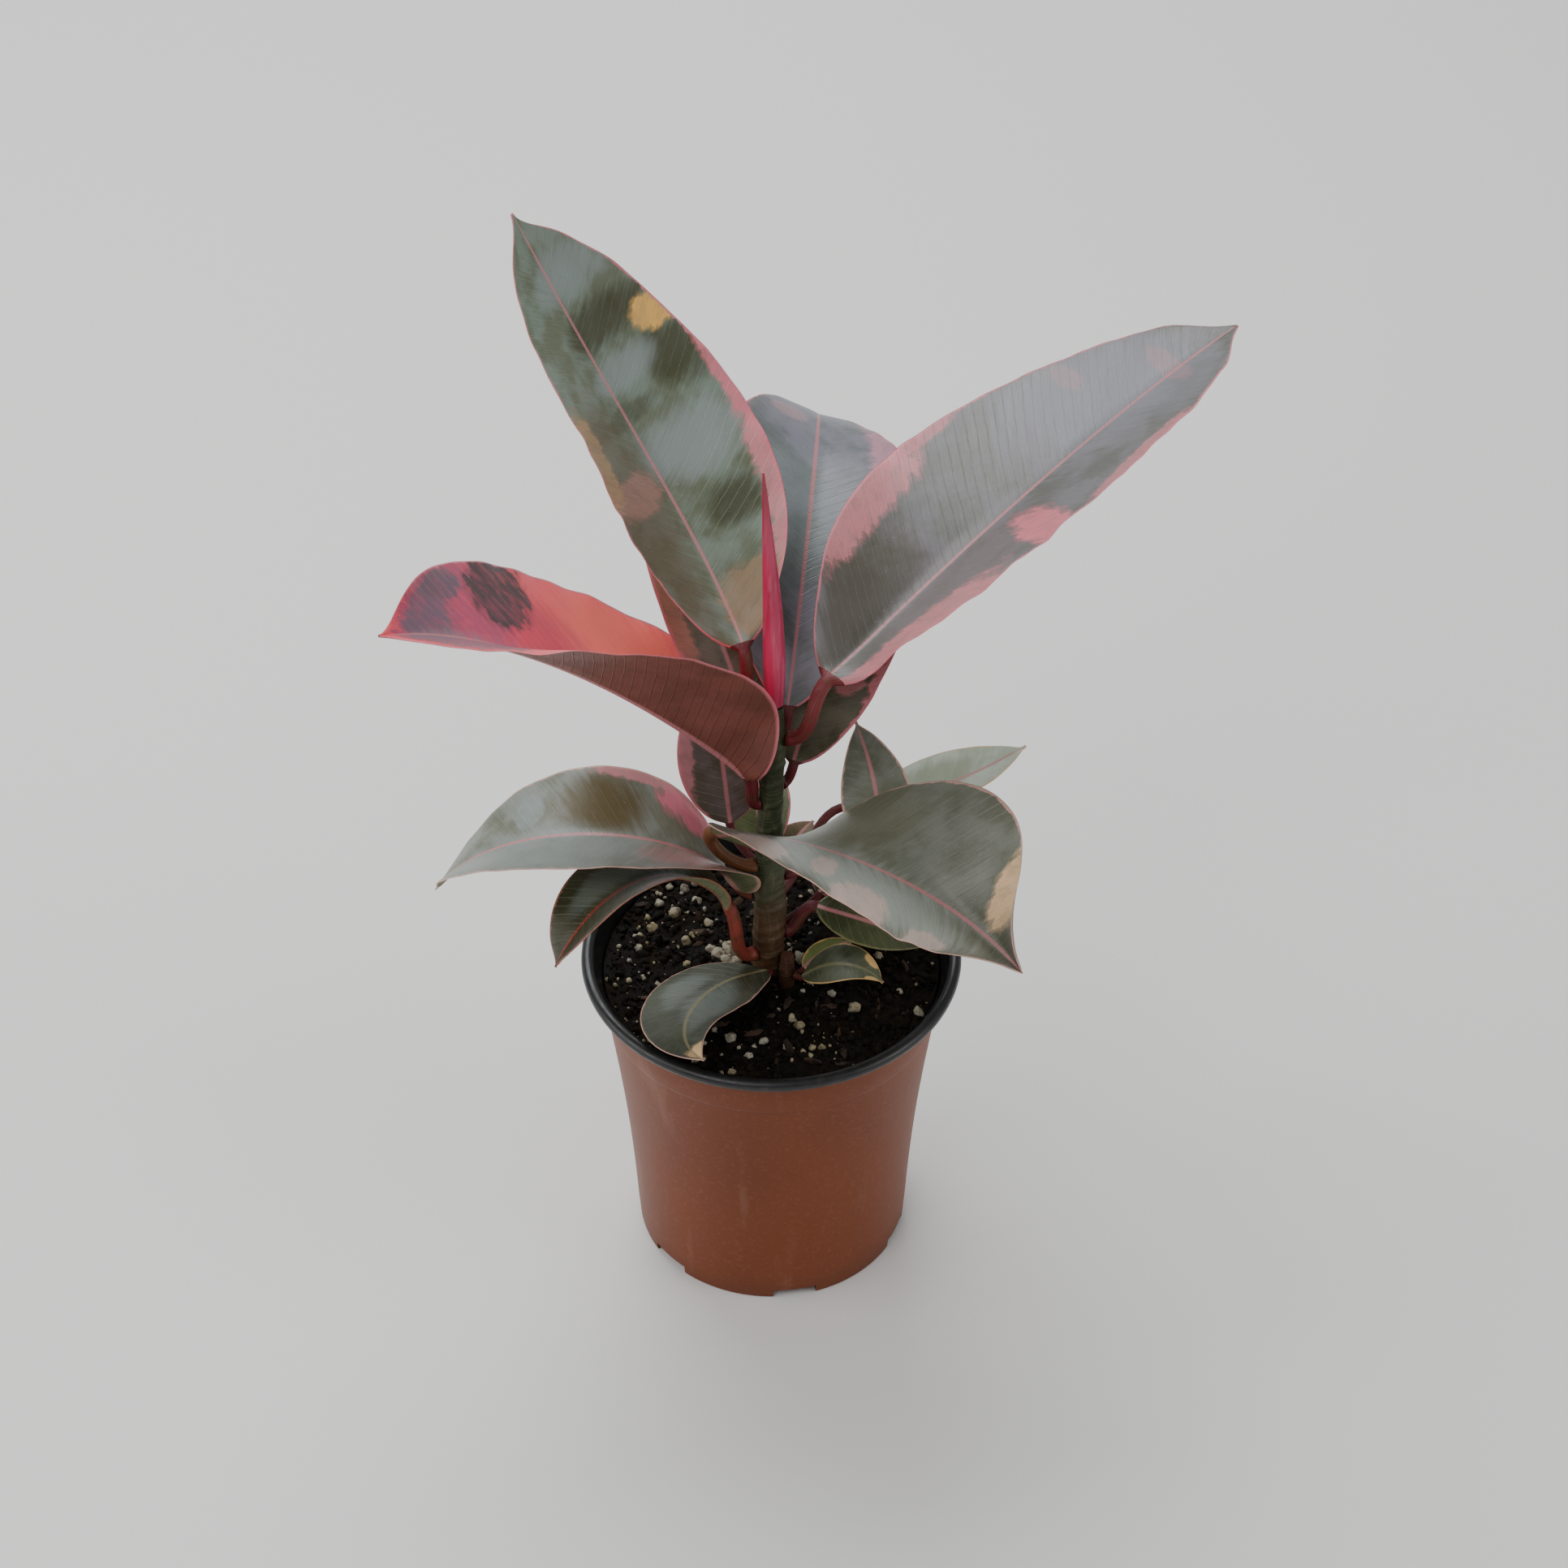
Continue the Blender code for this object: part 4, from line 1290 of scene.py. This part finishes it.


# The grey-blue, grey-mauve and pale grey shades are painted sheen; the dark olive bands on the top-left
# leaf are painted shade
LOOKS = {  # shades and blotches are (colour, u, v, spread in u, spread in v, strength)
    "leaf_top_left": Look(
        tone(120, 130, 120), tone(96, 102, 84), edges=(0.8, 1.2),
        shades=((PAINTED_SHEEN, -0.3, 0.84, 0.8, 0.06, 0.9), (PAINTED_SHADE_OLIVE, -0.35, 0.715, 0.7, 0.050, 1.0),
                (PAINTED_SHADE_OLIVE, -0.75, 0.575, 0.35, 0.07, 1.0), (PAINTED_SHEEN, -0.2, 0.61, 0.45, 0.04, 0.9),
                (PAINTED_SHADE_OLIVE, 0.1, 0.53, 0.5, 0.025, 0.6), (PAINTED_SHEEN, -0.4, 0.42, 0.6, 0.07, 1.0),
                (PAINTED_SHADE_OLIVE, -0.55, 0.28, 0.35, 0.05, 1.0), (tone(98, 88, 72), 0.6, 0.34, 0.6, 0.3, 0.8)),
        blotches=((tone(222, 180, 112), -0.90, 0.665, 0.28, 0.035, 1.0),
                  (ROSE, -1.02, 0.27, 0.22, 0.20, 1.0), (PINK, -1.02, 0.46, 0.12, 0.13, 0.9),
                  (tone(158, 124, 116), 0.55, 0.38, 0.45, 0.05, 0.8),
                  (tone(166, 138, 108), 0.92, 0.50, 0.2, 0.12, 0.8),
                  (tone(150, 128, 104), -0.5, 0.09, 0.6, 0.07, 0.7))),
    "leaf_top_right": Look(
        tone(116, 114, 116), tone(98, 98, 94), edges=(0.9, 1.2),
        shades=((tone(84, 80, 70), 0.45, 0.16, 0.5, 0.16, 0.9), (PAINTED_SHEEN_MAUVE, 0.4, 0.74, 0.8, 0.2, 0.8),
                (tone(110, 98, 98), -0.4, 0.30, 0.5, 0.2, 0.6), (PAINTED_SHEEN_MAUVE, -0.3, 0.85, 0.7, 0.1, 0.6)),
        blotches=((PINK, -0.75, 0.46, 0.50, 0.045, 1.0), (ROSE, -0.82, 0.16, 0.34, 0.17, 0.95),
                  (ROSE, 0.90, 0.30, 0.22, 0.14, 0.95), (PINK, 0.97, 0.45, 0.08, 0.08, 0.7),
                  (ROSE, -0.95, 0.68, 0.12, 0.12, 0.8), (tone(156, 132, 136), 0.1, 0.86, 0.5, 0.02, 0.6),
                  (tone(156, 132, 136), 0.75, 0.72, 0.2, 0.02, 0.6)), stalk=tone(96, 42, 44)),
    "leaf_top_back": Look(
        tone(128, 128, 136), tone(104, 108, 108), edges=(0.9, 1.3),
        shades=((PAINTED_SHEEN, 0.3, 0.45, 0.7, 0.2, 0.6),),
        blotches=((tone(188, 148, 160), -0.92, 0.62, 0.30, 0.22, 0.95),
                  (tone(180, 146, 156), 0.96, 0.55, 0.16, 0.16, 0.8),
                  (tone(176, 146, 152), 0.5, 0.80, 0.3, 0.04, 0.6))),
    "leaf_folded_left": Look(
        tone(240, 112, 120), tone(222, 98, 108), edges=(1.2, 1.0),
        shades=((tone(250, 136, 124), -0.55, 0.34, 0.5, 0.2, 0.9),
                (tone(176, 66, 92), -0.2, 0.60, 0.5, 0.16, 0.8),
                (tone(160, 84, 96), 0.3, 0.55, 0.4, 0.4, 0.6)),
        blotches=((tone(170, 92, 114), -0.35, 0.80, 0.9, 0.16, 1.0),
                  (tone(82, 66, 70), -0.66, 0.655, 0.42, 0.075, 1.0),
                  (tone(120, 100, 112), -0.25, 0.86, 0.6, 0.07, 1.0),
                  (tone(112, 96, 106), -0.75, 0.80, 0.22, 0.05, 1.0),
                  (tone(140, 116, 124), 0.4, 0.82, 0.5, 0.14, 0.9)),
        under=tone(112, 70, 62), stalk=tone(82, 32, 36), slot="leaf_pink"),
    "leaf_mid_right": Look(
        tone(98, 96, 82), tone(70, 70, 52), edges=(1.0, 1.3),
        shades=((tone(136, 90, 90), 0.4, 0.5, 0.6, 0.25, 0.9), (PAINTED_SHEEN, -0.3, 0.6, 0.4, 0.2, 0.5)),
        blotches=((PINK, -0.97, 0.5, 0.18, 0.25, 0.9), (ROSE, -0.5, 0.30, 0.25, 0.05, 0.8)),
        slot="leaf_green"),
    "leaf_mid_left_back": Look(
        tone(112, 106, 94), tone(82, 80, 64), edges=(1.4, 1.0),
        blotches=((tone(176, 132, 118), 0.9, 0.5, 0.35, 0.3, 0.9),)),
    "leaf_low_left": Look(
        tone(132, 136, 130), tone(108, 110, 98), edge=SHELL, edges=(0.8, 0.7),
        shades=((tone(86, 76, 50), -0.45, 0.46, 0.5, 0.13, 1.0),
                (tone(96, 88, 66), -0.5, 0.25, 0.4, 0.08, 0.6),
                (PAINTED_SHEEN, 0.4, 0.6, 0.6, 0.25, 0.8), (tone(176, 132, 132), 0.5, 0.2, 0.5, 0.18, 0.8)),
        blotches=((tone(210, 132, 146), -0.82, 0.15, 0.40, 0.15, 0.95),
                  (tone(204, 148, 152), -0.95, 0.36, 0.12, 0.12, 0.8),
                  (PAINTED_SHEEN, -0.5, 0.66, 0.3, 0.04, 0.8)), stalk=tone(100, 54, 42)),
    "leaf_drooping_left": Look(
        tone(70, 70, 54), tone(48, 48, 32), edge=tone(150, 100, 86), edges=(0.9, 0.9),
        shades=((tone(122, 74, 62), 0.3, 0.10, 0.9, 0.14, 0.9), (PAINTED_SHEEN, -0.4, 0.6, 0.3, 0.2, 0.4)),
        blotches=((tone(132, 84, 72), 0.75, 0.35, 0.3, 0.2, 0.8),), rib=tone(140, 58, 54),
        stalk=tone(122, 62, 54)),
    "leaf_low_right": Look(
        tone(122, 124, 116), tone(100, 102, 90), edge=SHELL, edges=(0.9, 0.9),
        shades=((tone(86, 86, 66), 0.6, 0.35, 0.5, 0.2, 0.8),
                # a pale grey-green veil of painted sheen
                (tone(164, 170, 164), -0.45, 0.5, 0.5, 0.4, 0.9)),
        blotches=((tone(196, 180, 172), -0.70, 0.20, 0.40, 0.07, 0.95),
                  (tone(196, 178, 170), -0.85, 0.50, 0.40, 0.09, 0.95),
                  (tone(190, 176, 168), -0.45, 0.36, 0.25, 0.035, 0.9),
                  (tone(190, 176, 168), -0.85, 0.75, 0.25, 0.08, 0.9),
                  (tone(234, 204, 170), 0.60, 0.85, 0.46, 0.055, 1.0)), stalk=tone(104, 72, 50)),
    "leaf_small_back_left": Look(
        tone(108, 98, 98), tone(84, 78, 68), edges=(1.0, 0.9),
        blotches=((tone(210, 160, 148), -0.9, 0.45, 0.40, 0.2, 1.0),
                  (tone(190, 136, 140), 0.9, 0.5, 0.25, 0.25, 0.9))),
    "leaf_small_back_right": Look(tone(120, 122, 114), tone(94, 96, 82), edge=SHELL),
    "leaf_pale_right": Look(
        tone(200, 208, 198), tone(178, 186, 172), edge=CREAM, edges=(0.5, 0.5),
        shades=((tone(120, 128, 104), 0.3, 0.5, 0.5, 0.3, 0.6),)),
    "leaf_dark_right_back": Look(tone(86, 88, 62), tone(60, 64, 42), slot="leaf_green"),
    "leaf_olive_back": Look(tone(102, 88, 60), tone(74, 64, 42), slot="leaf_green"),
    "leaf_under_right": Look(
        tone(76, 80, 56), tone(52, 56, 36), edge=tone(120, 116, 84), slot="leaf_green"),
    "leaf_baby_right": Look(tone(118, 128, 84), tone(90, 98, 58), edge=CREAM),
    "leaf_soil_right": Look(
        tone(84, 88, 72), tone(58, 62, 46), edge=CREAM, edges=(0.4, 0.4), rib=tone(120, 118, 90),
        blotches=((CREAM, 0.8, 0.78, 0.3, 0.08, 0.9), (CREAM, -0.8, 0.88, 0.4, 0.06, 0.9))),
    "leaf_soil_left": Look(
        tone(76, 80, 66), tone(52, 56, 42), edge=SHELL, edges=(0.5, 0.5), rib=tone(140, 132, 104),
        shades=((PAINTED_SHEEN, 0.3, 0.5, 0.5, 0.25, 0.5), (PAINTED_SHEEN, -0.5, 0.4, 0.3, 0.15, 0.5)),
        blotches=((tone(218, 188, 148), 0.2, 0.93, 0.8, 0.06, 1.0),)),
    "leaf_green_back": Look(tone(90, 94, 66), tone(64, 70, 46), slot="leaf_green"),
}

# %% [markdown]
# ## Painting a blade
#
# The layers of a Look are mixed in order: ground, shades, blotches, margin, midrib. Distances from
# the margin and the midrib are worked out in millimetres, so a small leaf gets the same fine edge
# as a large one. Noise pushes each border about, which gives the torn look of real variegation.
# Fine side veins run out from the midrib towards the tip; they show in colour and as relief.


# %% Where a point is on a blade
VEIN_SPACING = 3.4  # mm
VEIN_SLANT = 0.55  # how far veins run towards the tip for each step away from the midrib
VEIN_COLOUR = tone(200, 190, 170)
DUST_COLOUR = tone(190, 188, 176)
STALK_BLOTCH = tone(70, 66, 40)


class BladeMap:
    """Fields that say where a point is on a blade."""

    def __init__(self, paint, leaf):
        length = leaf.length / MM
        half = leaf.width / MM / 2
        seed = len(leaf.name) * 1.7 + length
        u, v = paint.uv("leaf_map")
        self.u = u * 2 - 1
        self.v = v
        plump = (v * (1 - v) * 4).most(0.0) ** 0.6
        self.across = self.u * plump * half
        self.along = v * length
        self.to_edge = (1 - abs(self.u)) * plump * half
        self.to_rib = abs(self.across)
        self.cloud = paint.noise(paint.join(self.across, self.along, seed), 0.075, 4.0, 0.55)
        self.ragged = paint.noise(paint.join(self.across, self.along * 2.2, seed + 9), 0.16, 4.0, 0.6)
        slant = self.along - self.to_rib * VEIN_SLANT
        self.streaks = paint.noise(paint.join(slant * 0.42, self.across * 0.05, seed + 3), 1.0, 4.0, 0.6)
        self.mottle = paint.noise(paint.join(slant * 0.3, self.across * 0.14, seed + 5), 1.0, 4.0, 0.65)
        self.fibres = paint.noise(paint.join(slant * 2.6, self.across * 0.12, seed), 1.0, 3.0, 0.6)
        self.veins = abs(paint.node("ShaderNodeMath", settings={"operation": "SINE"},
                                    Value=slant * (math.pi / VEIN_SPACING) + self.cloud * 2))


# %% [markdown]
# ## The layers
#
# Each layer is mixed over the last. A shade is an ellipse with a wide soft border. A blotch is an
# ellipse whose border is torn by two noises and is nearly sharp, with a faint halo round it.


# %% Mix the layers
def paint_layers(paint, spot, look):
    """Mix the ground, the shades, the blotches, the margins and the midrib, in that order."""
    colour = paint.mix(paint.ramp(spot.cloud, 0.38, 0.62), look.deep, look.ground)
    fibre = paint.ramp(spot.fibres, 0.45, 0.75)
    colour = paint.mix(fibre * 0.28, colour, tuple(min(1, part * 1.35 + 0.03) for part in look.ground))
    # some shades are painted sheen and painted shade bands; the rest are the leaf's own tints
    for shade, u, v, wide, high, strength in look.shades:
        far = ((spot.u - u) / wide) ** 2 + ((spot.v - v) / high) ** 2
        veil = paint.ramp(far + (spot.streaks - 0.5) * 1.6, 0.2, 1.4, strength * 0.85, 0.0)
        colour = paint.mix(veil, colour, shade)
    for shade, u, v, wide, high, strength in look.blotches:
        far = ((spot.u - u) / wide) ** 2 + ((spot.v - v) / high) ** 2
        torn = far + (spot.streaks - 0.5) * 1.5 + (spot.ragged - 0.5) * 1.4
        halo = paint.ramp(torn, 0.9, 1.5, strength * 0.45, 0.0)
        thin = paint.ramp(spot.mottle, 0.45, 0.62, 1.0, 0.75)
        patch = paint.ramp(torn, 0.86, 1.02, strength, 0.0) * thin
        colour = paint.mix(halo.most(patch), colour, shade)
    left = paint.ramp(spot.u, -0.02, 0.02)
    reach = (left * (look.edges[0] - look.edges[1]) + look.edges[1]) * (spot.streaks * 2.6 - 0.5)
    margin = paint.ramp(spot.to_edge - reach.most(0.35), -0.2, 0.25, 1.0, 0.0)
    colour = paint.mix(margin * 0.85, colour, look.edge)
    rib = paint.ramp(spot.to_rib, 0.35, 0.95, 1.0, 0.0)
    return paint.mix(rib * 0.75, colour, look.rib)


# %% [markdown]
# ## Face, underside and petiole
#
# The upper face is glossy and the underside is duller, with stronger veins. Both need their own
# material, since roughness and relief differ as well as colour.


# %% Finish the leaves
def paint_blade(leaf, look):
    """The glossy upper face: the layers, then fine veins, dust and relief."""
    paint = Paint(leaf.name + "_face", Specular_IOR_Level=0.4)
    spot = BladeMap(paint, leaf)
    colour = paint_layers(paint, spot, look)
    vein = paint.ramp(spot.veins, 0.0, 0.22, 1.0, 0.0)
    colour = paint.mix(vein * 0.09, colour, VEIN_COLOUR)
    dust = paint.noise(paint.place(), 1100.0, 2.0)
    colour = paint.mix(paint.ramp(dust, 0.66, 0.8) * 0.22, colour, DUST_COLOUR)
    paint.set("Base Color", colour)
    paint.set("Roughness", paint.ramp(spot.cloud, 0.3, 0.7, look.gloss - 0.05, look.gloss + 0.08))
    paint.set("Coat Weight", 0.2)
    paint.set("Coat Roughness", 0.28)
    relief = spot.fibres * 0.5 - vein * 0.35 + spot.cloud * 1.6
    paint.bump(relief, 0.0005, 0.5)
    return paint.material


def paint_underside(leaf, look):
    """The duller underside: one green with darker veins, a margin and a midrib."""
    paint = Paint(leaf.name + "_back", Specular_IOR_Level=0.3)
    spot = BladeMap(paint, leaf)
    colour = paint.mix(paint.ramp(spot.cloud, 0.35, 0.65), look.under,
                       tuple(part * 0.72 for part in look.under))
    vein = paint.ramp(spot.veins, 0.0, 0.30, 1.0, 0.0)
    colour = paint.mix(vein * 0.3, colour, tuple(part * 0.5 for part in look.under))
    edge = paint.ramp(spot.to_edge, 0.3, 1.8, 1.0, 0.0)
    colour = paint.mix(edge * 0.8, colour, look.edge)
    rib = paint.ramp(spot.to_rib, 0.9, 1.8, 1.0, 0.0)
    paint.set("Base Color", paint.mix(rib * 0.7, colour, look.rib))
    paint.set("Roughness", paint.ramp(spot.fibres, 0.3, 0.7, 0.46, 0.6))
    paint.bump(vein * 0.7 + spot.fibres * 0.4, 0.0005, 0.5)
    return paint.material


def paint_stalk(leaf, look):
    """The petiole: lengthwise streaks and a few olive blotches."""
    paint = Paint(leaf.name + "_stalk", Coat_Weight=0.1, Specular_IOR_Level=0.35)
    u, v = paint.uv("leaf_map")
    streak = paint.noise(paint.join(u * 16, v * 9), 1.0, 3.0)
    blotch = paint.noise(paint.place(), 260.0, 3.0)
    pale = tuple(min(1, part * 1.5 + 0.01) for part in look.stalk)
    colour = paint.mix(paint.ramp(streak, 0.4, 0.7), look.stalk, pale)
    paint.set("Base Color", paint.mix(paint.ramp(blotch, 0.5, 0.7) * 0.5, colour, STALK_BLOTCH))
    paint.set("Roughness", paint.ramp(streak, 0.3, 0.7, 0.34, 0.5))
    paint.bump(streak, 0.0004)
    return paint.material


def grow_leaves():
    for leaf in LEAVES:
        look = LOOKS[leaf.name]
        materials = [paint_blade(leaf, look), paint_underside(leaf, look), paint_stalk(leaf, look)]
        piece = make_leaf(leaf, materials, look.slot)
        high = max(vert.co.z for vert in piece.data.vertices)
        higher = (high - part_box(leaf.name)[1][2]) / MM
        print(leaf.name, "top is", round(higher, 2), "mm from the frame's")


grow_leaves()
